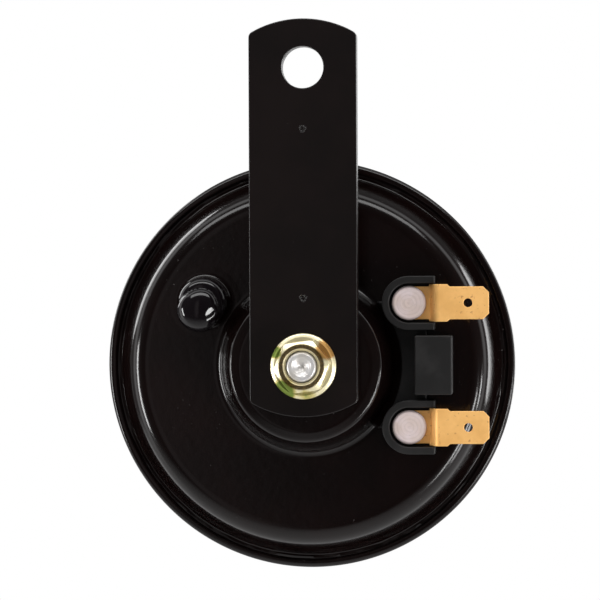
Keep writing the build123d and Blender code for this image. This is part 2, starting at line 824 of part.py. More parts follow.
# Insulating pads of the breaker, as rear level and thickness
breaker_pads = {
    "breaker_pad_rear": (inner_face, rear_pad_thickness),
    "breaker_pad_middle": (middle_pad_height, middle_pad_thickness),
    "breaker_pad_front": (front_pad_height, front_pad_thickness),
}
for pad_name, (level, thickness) in breaker_pads.items():
    with BuildPart() as breaker_pad:
        with BuildSketch(breaker.offset(level)):
            Rectangle(2 * breaker_pad_reach, breaker_width)
            with Locations((-breaker_rivet_place, 0), (breaker_rivet_place, 0)):
                Circle(breaker_hole_radius, mode=Mode.SUBTRACT)
        extrude(amount=-thickness)
    breaker_pad.part.label = pad_name
    export_step(breaker_pad.part, "parts/" + pad_name + ".step")

# Spring leaf with the tab that the armature's collar lifts
with BuildPart() as contact_leaf:
    with BuildSketch(breaker.offset(leaf_height)):
        with Locations(((leaf_reach - breaker_back) / 2, 0)):
            Rectangle(leaf_reach + breaker_back, breaker_width)
        tab_end = axis_across - collar_radius + tab_overlap
        with Locations((axis_along, tab_end / 2)):
            Rectangle(2 * tab_half_width, tab_end)
        with Locations((-breaker_rivet_place, 0), (breaker_rivet_place, 0)):
            Circle(breaker_rivet_radius + breaker_rivet_clearance, mode=Mode.SUBTRACT)
    extrude(amount=-leaf_spring_thickness)
contact_leaf.part.label = "contact_leaf"
export_step(contact_leaf.part, "parts/contact_leaf.step")

# Fixed arm, which reaches under the adjusting screw
with BuildPart() as fixed_arm:
    with BuildSketch(breaker.offset(arm_height)):
        with Locations(((screw_reach + arm_past_screw - breaker_back) / 2, 0)):
            Rectangle(screw_reach + arm_past_screw + breaker_back, breaker_width)
        with Locations((-breaker_rivet_place, 0), (breaker_rivet_place, 0)):
            Circle(breaker_rivet_radius + breaker_rivet_clearance, mode=Mode.SUBTRACT)
    extrude(amount=-arm_thickness)
fixed_arm.part.label = "fixed_arm"
export_step(fixed_arm.part, "parts/fixed_arm.step")

# Contact buttons on the leaf and the arm, closed at rest
contact_levels = {"moving_contact": middle_pad_height, "fixed_contact": arm_height + contact_height}
for contact_name, level in contact_levels.items():
    with BuildPart() as contact_button:
        with BuildSketch(breaker.offset(level)):
            with Locations((contact_place, 0)):
                Circle(contact_radius)
        extrude(amount=-contact_height)
    contact_button.part.label = contact_name
    export_step(contact_button.part, "parts/" + contact_name + ".step")

# Two rivets through the stack, headed on the rear of the housing under the bracket
with BuildPart() as breaker_rivets:
    for along in (-breaker_rivet_place, breaker_rivet_place):
        with BuildSketch(breaker.offset(breaker_tail_base)):
            with Locations((along, 0)):
                Circle(breaker_rivet_radius)
        extrude(amount=face_height - breaker_tail_base)
        for level, way in ((face_height, 1), (breaker_tail_base, -1)):
            with BuildSketch(breaker.offset(level)):
                with Locations((along, 0)):
                    Circle(breaker_rivet_head_radius)
            extrude(amount=way * breaker_rivet_head_height, taper=25)
breaker_rivets.part.label = "breaker_rivets"
export_step(breaker_rivets.part, "parts/breaker_rivets.step")

# Coil leads, out through the yoke plate to the upper rivet and to the spring leaf
lead_bend = 3 * lead_radius
lead_start_height = inner_face + 3 * bobbin_flange
lead_low_height = inner_face - yoke_thickness - 2 * lead_radius
rivet_turn = degrees(atan2(terminal_z, terminal_x))
rivet_edge = hypot(terminal_x, terminal_z) - rivet_tail_radius - lead_end_gap
leaf_corner = breaker.from_local_coords((lead_radius - breaker_back, breaker_width / 2 + 2 * lead_radius, 0))
leaf_corner_place = horn.to_local_coords(leaf_corner)
lead_ends = {
    "coil_lead_upper": (lead_turns[0], polar(rivet_edge, rivet_turn)),
    "coil_lead_breaker": (lead_turns[1], (leaf_corner_place.X, leaf_corner_place.Y)),
}
for lead_name, (turn, end) in lead_ends.items():
    start = polar(winding_radius + 2 * lead_radius, turn)
    with BuildPart() as coil_lead:
        with BuildLine() as lead_path:
            FilletPolyline(
                place(*start, lead_start_height),
                place(*start, lead_low_height),
                place(*end, lead_low_height),
                radius=lead_bend,
            )
        with BuildSketch(Plane(origin=place(*start, lead_start_height), z_dir=(0, 1, 0))):
            Circle(lead_radius)
        sweep(path=lead_path.wire())
    coil_lead.part.label = lead_name
    export_step(coil_lead.part, "parts/" + lead_name + ".step")

# Insulated lead from the fixed arm round the coil to the lower rivet
arm_end_along = -breaker_back - flex_lead_radius - lead_end_gap
arm_end = horn.to_local_coords(breaker.from_local_coords((arm_end_along, 0, 0)))
flex_level = arm_height - arm_thickness / 2
rivet_outside = hypot(terminal_x, terminal_z) + rivet_tail_radius
flex_radius = rivet_outside + 2 * flex_lead_radius
flex_end = polar(rivet_outside + flex_lead_radius + lead_end_gap, -rivet_turn)
flex_swells = [0, arm_lead_swell, arm_lead_swell]
with BuildPart() as arm_lead:
    with BuildLine() as arm_lead_path:
        FilletPolyline(
            place(arm_end.X, arm_end.Y, flex_level),
            *[
                place(*polar(flex_radius + swell, turn), flex_level)
                for swell, turn in zip(flex_swells, arm_lead_turns)
            ],
            place(*flex_end, flex_level),
            radius=flex_lead_bend,
        )
    with BuildSketch(Plane(origin=arm_lead_path.line @ 0, z_dir=arm_lead_path.line % 0)):
        Circle(flex_lead_radius)
    sweep(path=arm_lead_path.wire())
arm_lead.part.label = "arm_lead"
export_step(arm_lead.part, "parts/arm_lead.step")
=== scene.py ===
"""Looks of a disc horn seen from its rear: painted pressings, strap, nut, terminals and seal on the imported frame."""

import logging
import math
from dataclasses import dataclass, field
from enum import Enum
from functools import cache
from typing import Any, Callable, Sequence, Union

import bmesh
import bpy
import numpy as np
from mathutils import Matrix, Vector
from mathutils.geometry import delaunay_2d_cdt

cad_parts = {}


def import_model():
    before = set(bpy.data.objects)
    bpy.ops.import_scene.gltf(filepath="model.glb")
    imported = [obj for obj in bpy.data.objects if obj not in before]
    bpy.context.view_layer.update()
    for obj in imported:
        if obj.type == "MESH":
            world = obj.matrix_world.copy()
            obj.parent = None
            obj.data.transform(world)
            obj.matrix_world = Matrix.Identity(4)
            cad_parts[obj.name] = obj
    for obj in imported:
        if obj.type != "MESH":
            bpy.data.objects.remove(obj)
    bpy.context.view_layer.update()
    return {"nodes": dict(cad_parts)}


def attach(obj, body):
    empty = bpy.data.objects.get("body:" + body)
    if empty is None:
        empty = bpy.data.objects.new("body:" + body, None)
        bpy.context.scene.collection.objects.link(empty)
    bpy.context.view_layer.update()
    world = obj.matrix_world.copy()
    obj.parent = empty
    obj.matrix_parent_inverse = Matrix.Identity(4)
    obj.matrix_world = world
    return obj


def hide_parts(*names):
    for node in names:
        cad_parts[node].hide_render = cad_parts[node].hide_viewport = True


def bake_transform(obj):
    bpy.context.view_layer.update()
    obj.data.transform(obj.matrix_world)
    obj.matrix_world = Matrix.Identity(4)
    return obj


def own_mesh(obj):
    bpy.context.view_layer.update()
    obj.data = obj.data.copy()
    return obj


Array = np.ndarray
Colour = tuple[float, float, float]
Placing = Callable[[Array, Array, Array], Array]

MM = 0.001
BRACKET_HEIGHT = 22.0
HOLE_TO_STUD = 57.0
FACE_HEIGHT = 8.0
SHEET = 1.0
LEAST_BEND = 0.05
WELD = 2e-7

log = logging.getLogger("disc_horn")


# Points and curves, in millimetres on the horn: x and z across it, h rearwards along its axis


def placed(x: Array, z: Array, h: Array) -> Array:
    """Puts places on the horn in the model's frame: (x, bracket height - h, z - hole to stud), in metres.

    Args:
        x: Places across the horn.
        z: Places up the horn.
        h: Heights along the horn's axis, rearwards.

    Returns:
        The points, one row of three for each place.
    """
    x, z, h = np.broadcast_arrays(x, z, h)
    return np.stack((x, BRACKET_HEIGHT - h, z - HOLE_TO_STUD), axis=-1) * MM


def smooth_step(value: Array, low: float, high: float) -> Array:
    """Goes from 0 at low to 1 at high as 3t^2 - 2t^3."""
    t = np.clip((value - low) / (high - low), 0.0, 1.0)
    return t * t * (3.0 - 2.0 * t)


def waves(angle: Array, terms: Sequence[tuple[int, float, float]]) -> Array:
    """Sum of size * sin(count * angle + start) over the terms, which closes on itself round a turn."""
    return sum(size * np.sin(count * angle + start) for count, size, start in terms)


def round_angles(count: int) -> Array:
    """Angles that divide a turn evenly, from 0."""
    return np.linspace(0.0, 2.0 * math.pi, count, endpoint=False)


def circle(radius: float, centre: tuple[float, float] = (0.0, 0.0), count: int = 64) -> Array:
    """Points of a circle, anticlockwise: centre + radius * (cos a, sin a)."""
    angle = round_angles(count)
    return np.column_stack((centre[0] + radius * np.cos(angle), centre[1] + radius * np.sin(angle)))


def mitred(points: Sequence[tuple[float, float]], distance: float) -> Array:
    """Moves a polyline to its left: each corner goes to where its two moved runs cross.

    Args:
        points: The corners.
        distance: How far to the left each run moves.

    Returns:
        The moved corners.
    """
    path = np.asarray(points, float)
    run = np.diff(path, axis=0)
    run /= np.linalg.norm(run, axis=1)[:, None]
    side = np.column_stack((-run[:, 1], run[:, 0]))
    before = np.vstack((side[:1], side))
    after = np.vstack((side, side[-1:]))
    both = before + after
    return path + 2.0 * distance * both / np.sum(both * both, axis=1)[:, None]


def filleted(points: Sequence[tuple[float, float]], radii: Sequence[float], steps: int = 6) -> Array:
    """Rounds a polyline's inner corners: an arc of radius r touches both runs at r / tan(half the corner's angle).

    Args:
        points: The corners, the first and last of which are the ends.
        radii: A radius for each corner between the ends.
        steps: How many runs make an arc.

    Returns:
        The points of the rounded path.
    """
    path = np.asarray(points, float)
    pieces = [path[:1]]
    part = np.linspace(0.0, 1.0, steps + 1)[:, None]
    for before, corner, after, radius in zip(path[:-2], path[1:-1], path[2:], radii):
        back = (before - corner) / np.linalg.norm(before - corner)
        on = (after - corner) / np.linalg.norm(after - corner)
        half = math.acos(float(np.clip(back @ on, -1.0, 1.0))) / 2.0
        middle = corner + (back + on) / np.linalg.norm(back + on) * radius / math.sin(half)
        start = corner + back * radius / math.tan(half) - middle
        end = corner + on * radius / math.tan(half) - middle
        sweep = math.pi - 2.0 * half
        pieces.append(middle + (np.sin((1.0 - part) * sweep) * start + np.sin(part * sweep) * end) / math.sin(sweep))
    pieces.append(path[-1:])
    return np.vstack(pieces)


def distances(path: Array) -> Array:
    """How far along a path each of its points is."""
    return np.concatenate(([0.0], np.cumsum(np.linalg.norm(np.diff(path, axis=0), axis=1))))


def spaced(path: Array, step: float, closed: bool = False) -> Array:
    """Adds points along a path's runs so that none is longer than step, and keeps its own points.

    Args:
        path: The path's points.
        step: The longest run wanted.
        closed: Whether the last point joins the first.

    Returns:
        The path with its added points.
    """
    if closed:
        path = np.vstack((path, path[:1]))
    run = np.linalg.norm(np.diff(path, axis=0), axis=1)
    along = np.concatenate(([0.0], np.cumsum(run)))
    count = np.maximum(np.ceil(run / step).astype(int), 1)
    marks = np.concatenate([np.arange(n) for n in count]) * np.repeat(run / count, count)
    marks = np.repeat(along[:-1], count) + marks
    if not closed:
        marks = np.append(marks, along[-1])
    return np.column_stack([np.interp(marks, along, path[:, axis]) for axis in range(path.shape[1])])


def rounded_loop(
    points: Sequence[tuple[float, float]], radii: Sequence[float], step: float, steps: int = 6
) -> Array:
    """Rounds every corner of a closed outline, as filleted does, starting half way along its last run.

    Args:
        points: The corners, anticlockwise.
        radii: A radius for each of them.
        step: The longest run wanted.
        steps: How many runs make an arc.

    Returns:
        The outline's points, in order.
    """
    start = (np.asarray(points[0], float) + np.asarray(points[-1], float)) / 2.0
    return spaced(filleted([start, *points, start], radii, steps)[:-1], step, closed=True)


def sheet_section(
    points: Sequence[tuple[float, float]], radii: Sequence[float], thickness: float, step: float
) -> Array:
    """Closed section of a bent sheet: the face along the points, then the face that lies to its left, back again.

    Args:
        points: Corners of the given face, as radius and height.
        radii: Its bend radii.
        thickness: The sheet's thickness.
        step: The longest run wanted.

    Returns:
        The section's points, in order.
    """
    path = np.asarray(points, float)
    run = np.diff(path, axis=0)
    turn = run[:-1, 0] * run[1:, 1] - run[:-1, 1] * run[1:, 0]
    inner = [max(r - math.copysign(thickness, t), LEAST_BEND) for r, t in zip(radii, turn)]
    face = spaced(filleted(points, radii, 8), step)
    back = spaced(filleted([tuple(p) for p in mitred(points, thickness)], inner, 8), 2.0 * step)
    return np.vstack((face, back[::-1]))


def turned(section: Array, count: int, centre: tuple[float, float] = (0.0, 0.0)) -> Array:
    """Net of a section turned about an axis: (cx + r cos a, cz + r sin a, h) for each section point and angle a.

    Args:
        section: Rows of radius and height.
        count: How many angles there are in a turn.
        centre: The axis's place on the horn.

    Returns:
        The net, with a row for each section point.
    """
    angle = round_angles(count)
    radius = section[:, 0][:, None]
    height = np.broadcast_to(section[:, 1][:, None], (len(section), count))
    return np.stack((centre[0] + radius * np.cos(angle), centre[1] + radius * np.sin(angle), height), axis=-1)


def polar(net: Array) -> tuple[Array, Array]:
    """A net's distances from the horn's axis, and its angles about it."""
    return np.hypot(net[..., 0], net[..., 1]), np.arctan2(net[..., 1], net[..., 0])


def net_faces(rows: int, columns: int, rows_close: bool, columns_close: bool) -> Array:
    """Four-sided faces between the neighbouring rows and columns of a net.

    Args:
        rows: How many rows it has.
        columns: How many points each row has.
        rows_close: Whether the last row joins the first.
        columns_close: Whether the last column joins the first.

    Returns:
        The faces, as rows of four indexes.
    """
    index = np.arange(rows * columns).reshape(rows, columns)
    if rows_close:
        index = np.vstack((index, index[:1]))
    if columns_close:
        index = np.hstack((index, index[:, :1]))
    return np.stack((index[:-1, :-1], index[:-1, 1:], index[1:, 1:], index[1:, :-1]), axis=-1).reshape(-1, 4)


def inside(points: Array, loop: Array) -> Array:
    """Tells which points lie in a closed loop, by counting the loop's runs that a ray along +x crosses.

    Args:
        points: The points.
        loop: The loop's points, in order.

    Returns:
        True for each point that lies inside.
    """
    start, end = loop, np.roll(loop, -1, axis=0)
    x, y = points[:, 0][:, None], points[:, 1][:, None]
    spans = (start[:, 1] > y) != (end[:, 1] > y)
    rise = np.where(end[:, 1] == start[:, 1], 1e-12, end[:, 1] - start[:, 1])
    cross = start[:, 0] + (y - start[:, 1]) * (end[:, 0] - start[:, 0]) / rise
    return np.count_nonzero(spans & (x < cross), axis=1) % 2 == 1


def linked(name: str, data: bpy.types.ID) -> bpy.types.Object:
    """Makes the object of some data and puts it in the scene.

    Args:
        name: The object's name.
        data: Its mesh, camera or lamp.

    Returns:
        The object.
    """
    made = bpy.data.objects.new(name, data)
    bpy.context.scene.collection.objects.link(made)
    return made


class Skin:
    """A mesh put together from nets of points in millimetres on the horn."""

    def __init__(self, name: str) -> None:
        """Starts an empty skin.

        Args:
            name: The piece's name.
        """
        self.name = name
        self.points: list[Array] = []
        self.faces: list[list[int]] = []
        self.count = 0

    def add(self, points: Array, faces: Array) -> "Skin":
        """Adds points and the faces that index them.

        Args:
            points: Rows of x, z and h.
            faces: Rows of indexes into the points.

        Returns:
            The skin itself.
        """
        self.points.append(points.reshape(-1, 3))
        self.faces.extend((faces + self.count).tolist())
        self.count += points.reshape(-1, 3).shape[0]
        return self

    def net(self, net: Array, rows_close: bool = False, columns_close: bool = True) -> "Skin":
        """Adds a net's four-sided faces between neighbouring rows and columns.

        Args:
            net: Points in rows and columns.
            rows_close: Whether the last row joins the first.
            columns_close: Whether the last column joins the first.

        Returns:
            The skin itself.
        """
        return self.add(net, net_faces(*net.shape[:2], rows_close, columns_close))

    def piece(self, crease: float = 40.0) -> bpy.types.Object:
        """Makes the object: seams and poles are welded and the faces turned outwards.

        Args:
            crease: Edges that turn by more degrees than this are sharp.

        Returns:
            The new object, at the origin.
        """
        points = np.vstack(self.points)
        mesh = bpy.data.meshes.new(self.name)
        mesh.from_pydata(placed(points[:, 0], points[:, 1], points[:, 2]).tolist(), [], self.faces)
        shell = bmesh.new()
        shell.from_mesh(mesh)
        bmesh.ops.remove_doubles(shell, verts=shell.verts, dist=WELD)
        bmesh.ops.recalc_face_normals(shell, faces=shell.faces)
        shell.to_mesh(mesh)
        shell.free()
        mesh.shade_smooth()
        mesh.set_sharp_from_angle(angle=math.radians(crease))
        return linked(self.name, mesh)


@dataclass
class Plate:
    """A piece with two flat faces, an outline and holes, whose edges are rounded."""

    outline: Array
    thickness: float
    edge: float = 0.15
    holes: Sequence[Array] = ()
    lattice: Array = field(default_factory=lambda: np.zeros((0, 2)))
    rounding_steps: int = 4
    rim: float = 0.03

    def _inward(self, loop: Array, hole: bool) -> Array:
        """Unit vectors into the material at a loop's points, square to the run between both neighbours.

        Args:
            loop: The outline or a hole, anticlockwise.
            hole: Whether it is a hole.

        Returns:
            A vector for each point.
        """
        run = np.roll(loop, -1, axis=0) - np.roll(loop, 1, axis=0)
        side = np.column_stack((-run[:, 1], run[:, 0])) / np.linalg.norm(run, axis=1)[:, None]
        return -side if hole else side

    def _edge_net(self, loop: Array, inward: Array, place: Placing) -> Array:
        """Net round one loop: a quarter circle from the top face, the wall, and a quarter circle to the bottom.

        Args:
            loop: The outline or a hole.
            inward: The vectors into the material.
            place: Gives the point for a place on the flat plate and a level.

        Returns:
            The net.
        """
        part = np.linspace(0.0, math.pi / 2.0, self.rounding_steps + 1)
        inset = np.concatenate(([self.edge + self.rim], self.edge * (1.0 - np.sin(part))))
        level = np.concatenate(([self.thickness], self.thickness - self.edge * (1.0 - np.cos(part))))
        inset = np.concatenate((inset, inset[::-1]))[:, None, None]
        level = np.concatenate((level, self.thickness - level[::-1]))[:, None]
        net = loop[None] + inset * inward[None]
        level = np.broadcast_to(level, net.shape[:2])
        return place(net[..., 0], net[..., 1], level)

    def onto(self, skin: Skin, place: Placing) -> Skin:
        """Adds the plate to a skin.

        Args:
            skin: The skin that takes it.
            place: Gives the point for a place on the flat plate and a level from its bottom face.

        Returns:
            The skin itself.
        """
        loops = [(self.outline, self._inward(self.outline, False))]
        loops += [(hole, self._inward(hole, True)) for hole in self.holes]
        caps = []
        for loop, inward in loops:
            skin.net(self._edge_net(loop, inward, place))
            caps.append(loop + (self.edge + self.rim) * inward)
        ends = np.cumsum([len(cap) for cap in caps])
        runs = []
        for cap, end in zip(caps, ends):
            index = np.arange(end - len(cap), end)
            runs += np.column_stack((index, np.roll(index, -1))).tolist()
        free = self.lattice[inside(self.lattice, caps[0])] if len(self.lattice) else self.lattice
        corners = np.vstack((*caps, free))
        made = delaunay_2d_cdt(list(map(Vector, corners.tolist())), runs, [], 0, 1e-7)
        flat = np.array([tuple(corner) for corner in made[0]])
        faces = np.array(made[2])
        middle = flat[faces].mean(axis=1)
        keep = inside(middle, caps[0])
        for cap in caps[1:]:
            keep &= ~inside(middle, cap)
        for level in (self.thickness, 0.0):
            skin.add(place(flat[:, 0], flat[:, 1], np.full(len(flat), level)), faces[keep])
        return skin


# Shader maths and finishes

Term = Union["Wire", float]


class Wire:
    """One output socket of a shader, so that maths on it reads as an expression."""

    def __init__(self, sheet: "ShaderSheet", socket: bpy.types.NodeSocket) -> None:
        """Keeps the socket and the sheet of nodes that it is on."""
        self.sheet = sheet
        self.socket = socket

    def _maths(self, operation: str, *terms: Term) -> "Wire":
        """Adds the Math node of an operation on the terms."""
        return self.sheet.node("ShaderNodeMath", {"operation": operation}, dict(enumerate(terms)))

    def __add__(self, other: Term) -> "Wire":
        """Sum."""
        return self._maths("ADD", self, other)

    def __radd__(self, other: Term) -> "Wire":
        """Sum, from the right."""
        return self._maths("ADD", other, self)

    def __sub__(self, other: Term) -> "Wire":
        """Difference."""
        return self._maths("SUBTRACT", self, other)

    def __rsub__(self, other: Term) -> "Wire":
        """Difference, from the right."""
        return self._maths("SUBTRACT", other, self)

    def __mul__(self, other: Term) -> "Wire":
        """Product."""
        return self._maths("MULTIPLY", self, other)

    def __rmul__(self, other: Term) -> "Wire":
        """Product, from the right."""
        return self._maths("MULTIPLY", other, self)

    def __pow__(self, other: Term) -> "Wire":
        """Power."""
        return self._maths("POWER", self, other)

    def largest(self, other: Term) -> "Wire":
        """The larger of two values."""
        return self._maths("MAXIMUM", self, other)

    def size(self) -> "Wire":
        """The value without its sign."""
        return self._maths("ABSOLUTE", self)

    def between(self, low: float, high: float) -> "Wire":
        """Goes smoothly from 0 at low to 1 at high, or back where low is the larger."""
        settings = {"interpolation_type": "SMOOTHSTEP"}
        return self.sheet.node("ShaderNodeMapRange", settings, {0: self, 1: low, 2: high, 3: 0.0, 4: 1.0})


class ShaderSheet:
    """The nodes of one material or world."""

    def __init__(self, tree: bpy.types.NodeTree) -> None:
        """Takes over a tree and clears it."""
        self.tree = tree
        tree.nodes.clear()

    def node(
        self, kind: str, settings: dict[str, Any] | None = None, feeds: dict[Any, Any] | None = None, out: Any = 0
    ) -> Wire:
        """Adds a node: its settings are set first, then its sockets' values or links.

        Args:
            kind: The node's type.
            settings: Its own settings; stops are a ramp's positions and colours.
            feeds: A value or a wire for each socket, by name or index.
            out: The output wanted.

        Returns:
            That output.
        """
        made = self.tree.nodes.new(kind)
        for key, value in (settings or {}).items():
            if key == "stops":
                for spot, (position, colour) in enumerate(value):
                    stops = made.color_ramp.elements
                    stop = stops[spot] if spot < len(stops) else stops.new(position)
                    stop.position = position
                    stop.color = (*colour, 1.0)
            else:
                setattr(made, key, value)
        for key, value in (feeds or {}).items():
            if isinstance(value, Wire):
                self.tree.links.new(value.socket, made.inputs[key])
            else:
                made.inputs[key].default_value = value
        return Wire(self, made.outputs[out]) if made.outputs else Wire(self, None)

    def place(self) -> Wire:
        """Object coordinates, which are the model's own."""
        return self.node("ShaderNodeTexCoord", out="Object")

    def along(self, axis: str) -> Wire:
        """One of the object coordinates, in millimetres."""
        return 1e3 * self.node("ShaderNodeSeparateXYZ", None, {0: self.place()}, axis)

    def distance(self, place: Wire, middle: tuple[float, float, float]) -> Wire:
        """How far a place is from a point."""
        return self.node("ShaderNodeVectorMath", {"operation": "DISTANCE"}, {0: place, 1: middle}, "Value")

    def grain(self, size: float, detail: float = 3.0, rough: float = 0.55, stretch: Colour = (1, 1, 1)) -> Wire:
        """Noise from 0 to 1 whose features are about size millimetres across.

        Args:
            size: Size of a feature.
            detail: How many finer layers it has.
            rough: How strong those are.
            stretch: How much finer it is along each axis.

        Returns:
            The noise.
        """
        place = self.node("ShaderNodeMapping", None, {"Vector": self.place(), "Scale": stretch})
        feeds = {"Vector": place, "Scale": 1.0 / (size * MM), "Detail": detail, "Roughness": rough}
        return self.node("ShaderNodeTexNoise", None, feeds)

    def blend(self, share: Term, first: Any, second: Any) -> Wire:
        """Mixes two colours.

        Args:
            share: How much of the second there is.
            first: A colour or a wire.
            second: A colour or a wire.

        Returns:
            The mixed colour.
        """
        first, second = ((*c, 1.0) if isinstance(c, tuple) else c for c in (first, second))
        return self.node("ShaderNodeMix", {"data_type": "RGBA"}, {0: share, 6: first, 7: second}, 2)

    def ramp(self, value: Term, stops: Sequence[tuple[float, Colour]]) -> Wire:
        """Colours by value, smoothly between the stops."""
        return self.node("ShaderNodeValToRGB", {"stops": stops}, {0: value})

    def bump(self, height: Wire, depth: float, under: Wire | None = None) -> Wire:
        """Surface normals for a height from 0 to 1 that stands for depth millimetres.

        Args:
            height: The height over the surface.
            depth: What 1 stands for.
            under: Normals of a coarser relief below it.

        Returns:
            The normals.
        """
        feeds = {"Height": height, "Distance": depth * MM, "Strength": 1.0}
        if under:
            feeds["Normal"] = under
        return self.node("ShaderNodeBump", None, feeds)

    def surface(self, feeds: dict[str, Any]) -> None:
        """Ends the sheet with the shader that takes the feeds."""
        shader = self.node("ShaderNodeBsdfPrincipled", None, feeds)
        self.node("ShaderNodeOutputMaterial", None, {"Surface": shader})


def material_sheet(name: str) -> tuple[bpy.types.Material, ShaderSheet]:
    """Starts a material.

    Args:
        name: Its name.

    Returns:
        The material, and the sheet of its nodes.
    """
    material = bpy.data.materials.new(name)
    material.use_nodes = True
    return material, ShaderSheet(material.node_tree)


@dataclass(frozen=True)
class Finish:
    """What a surface is covered with."""

    name: str
    colour: Colour
    roughness: float

    def feeds(self, sheet: ShaderSheet) -> dict[str, Any]:
        """Sockets of the shader that this finish sets, which each kind of finish gives."""
        raise NotImplementedError

    @cache
    def made(self) -> bpy.types.Material:
        """Makes the finish's material at the first call, and gives the same one at each later call.

        Returns:
            The material.
        """
        material, sheet = material_sheet(f"{self.name}_finish")
        sheet.surface(self.feeds(sheet))
        return material


@dataclass(frozen=True)
class Enamel(Finish):
    """Stoved paint: a slight peel, fine dust and thin scuffs."""

    peel_size: float = 1.6
    peel_depth: float = 0.012
    dust: float = 0.5
    dust_colour: Colour = (0.16, 0.15, 0.145)
    dust_depth: float = 0.02
    cloud_size: float = 14.0
    fine_size: float = 0.22
    fine_depth: float = 0.0016
    speck_size: float = 0.42
    speck_patch: float = 6.0
    warmth: Colour = (1.5, 1.25, 1.2)
    refraction: float = 1.45

    def feeds(self, sheet: ShaderSheet) -> dict[str, Any]:
        """Dark colour that shifts a little, roughness with clouds and specks, and a peel in the relief.

        Args:
            sheet: The material's nodes.

        Returns:
            The shader's inputs.
        """
        clouds = sheet.grain(self.cloud_size, 4.0)
        peel = sheet.grain(self.peel_size, 2.0)
        fine = sheet.grain(self.fine_size, 2.0)
        specks = sheet.grain(self.speck_size, 1.0).between(0.76, 0.8)
        specks = (specks * sheet.grain(self.speck_patch, 2.0).between(0.5, 0.62)) * self.dust
        warm = tuple(c * k for c, k in zip(self.colour, self.warmth))
        colour = sheet.blend(specks, sheet.blend(clouds.between(0.35, 0.65), self.colour, warm), self.dust_colour)
        rough = self.roughness * (0.82 + 0.36 * clouds) + 0.25 * specks + 0.05 * fine
        relief = sheet.bump(peel, self.peel_depth)
        relief = sheet.bump(specks, self.dust_depth, sheet.bump(fine, self.fine_depth, relief))
        return {"Base Color": colour, "Roughness": rough, "Normal": relief, "IOR": self.refraction}


@dataclass(frozen=True)
class Metal(Finish):
    """Bare or plated metal: clouds of tone, fine grain one way, and small stains."""

    stain: Colour = (0.2, 0.12, 0.06)
    stain_share: float = 0.3
    grain_size: float = 0.25
    grain_depth: float = 0.004
    grain_run: Colour = (1.0, 1.0, 1.0)
    metallic: float = 1.0
    cloud_size: float = 3.5
    spot_size: float = 0.9
    shade: Colour = (0.86, 0.82, 0.74)

    def feeds(self, sheet: ShaderSheet) -> dict[str, Any]:
        """Colour with clouds and stains, roughness that follows them, and the grain in the relief.

        Args:
            sheet: The material's nodes.

        Returns:
            The shader's inputs.
        """
        clouds = sheet.grain(self.cloud_size, 4.0)
        spots = sheet.grain(self.spot_size, 3.0).between(0.62, 0.74) * self.stain_share
        grain = sheet.grain(self.grain_size, 3.0, 0.6, self.grain_run)
        deeper = tuple(c * k for c, k in zip(self.colour, self.shade))
        colour = sheet.blend(spots, sheet.blend(clouds.between(0.3, 0.7), self.colour, deeper), self.stain)
        rough = self.roughness * (0.85 + 0.3 * clouds) + 0.12 * grain + 0.2 * spots
        relief = sheet.bump(grain, self.grain_depth)
        return {"Base Color": colour, "Metallic": self.metallic, "Roughness": rough, "Normal": relief}


@dataclass(frozen=True)
class StruckMetal(Metal):
    """Dull metal of a struck head: faint rings round each rivet's own axis, and darker towards the head's edge."""

    axis: tuple[float, float] = (19.8, 11.95)
    edge: tuple[float, float] = (2.75, 3.05)
    edge_share: float = 0.5
    ring_turn: float = 9.0
    ring_reach: tuple[float, float] = (3.0, 2.4)
    ring_share: float = 0.14
    ring_depth: float = 0.012
    wander_size: float = 1.6
    wander_reach: float = 0.5

    def feeds(self, sheet: ShaderSheet) -> dict[str, Any]:
        """The metal's own, with rings in the tone and the relief by the distance from the nearer axis.

        Args:
            sheet: The material's nodes.

        Returns:
            The shader's inputs.
        """
        feeds = super().feeds(sheet)
        side = sheet.along("X")
        rise = (sheet.along("Z") + HOLE_TO_STUD).size()
        reach = ((side - self.axis[0]) ** 2.0 + (rise - self.axis[1]) ** 2.0) ** 0.5
        wander = reach + self.wander_reach * (sheet.grain(self.wander_size, 2.0) - 0.5)
        rings = sheet.node("ShaderNodeMath", {"operation": "SINE"}, {0: self.ring_turn * wander})
        marks = rings.between(0.2, 1.0) * reach.between(*self.ring_reach)
        # darker towards the head's edge and along the rings, blended to the darker colour
        stain = self.edge_share * reach.between(*self.edge) + self.ring_share * marks
        feeds["Base Color"] = sheet.blend(stain, feeds["Base Color"], self.stain)
        feeds["Normal"] = sheet.bump(marks, self.ring_depth, feeds["Normal"])
        return feeds


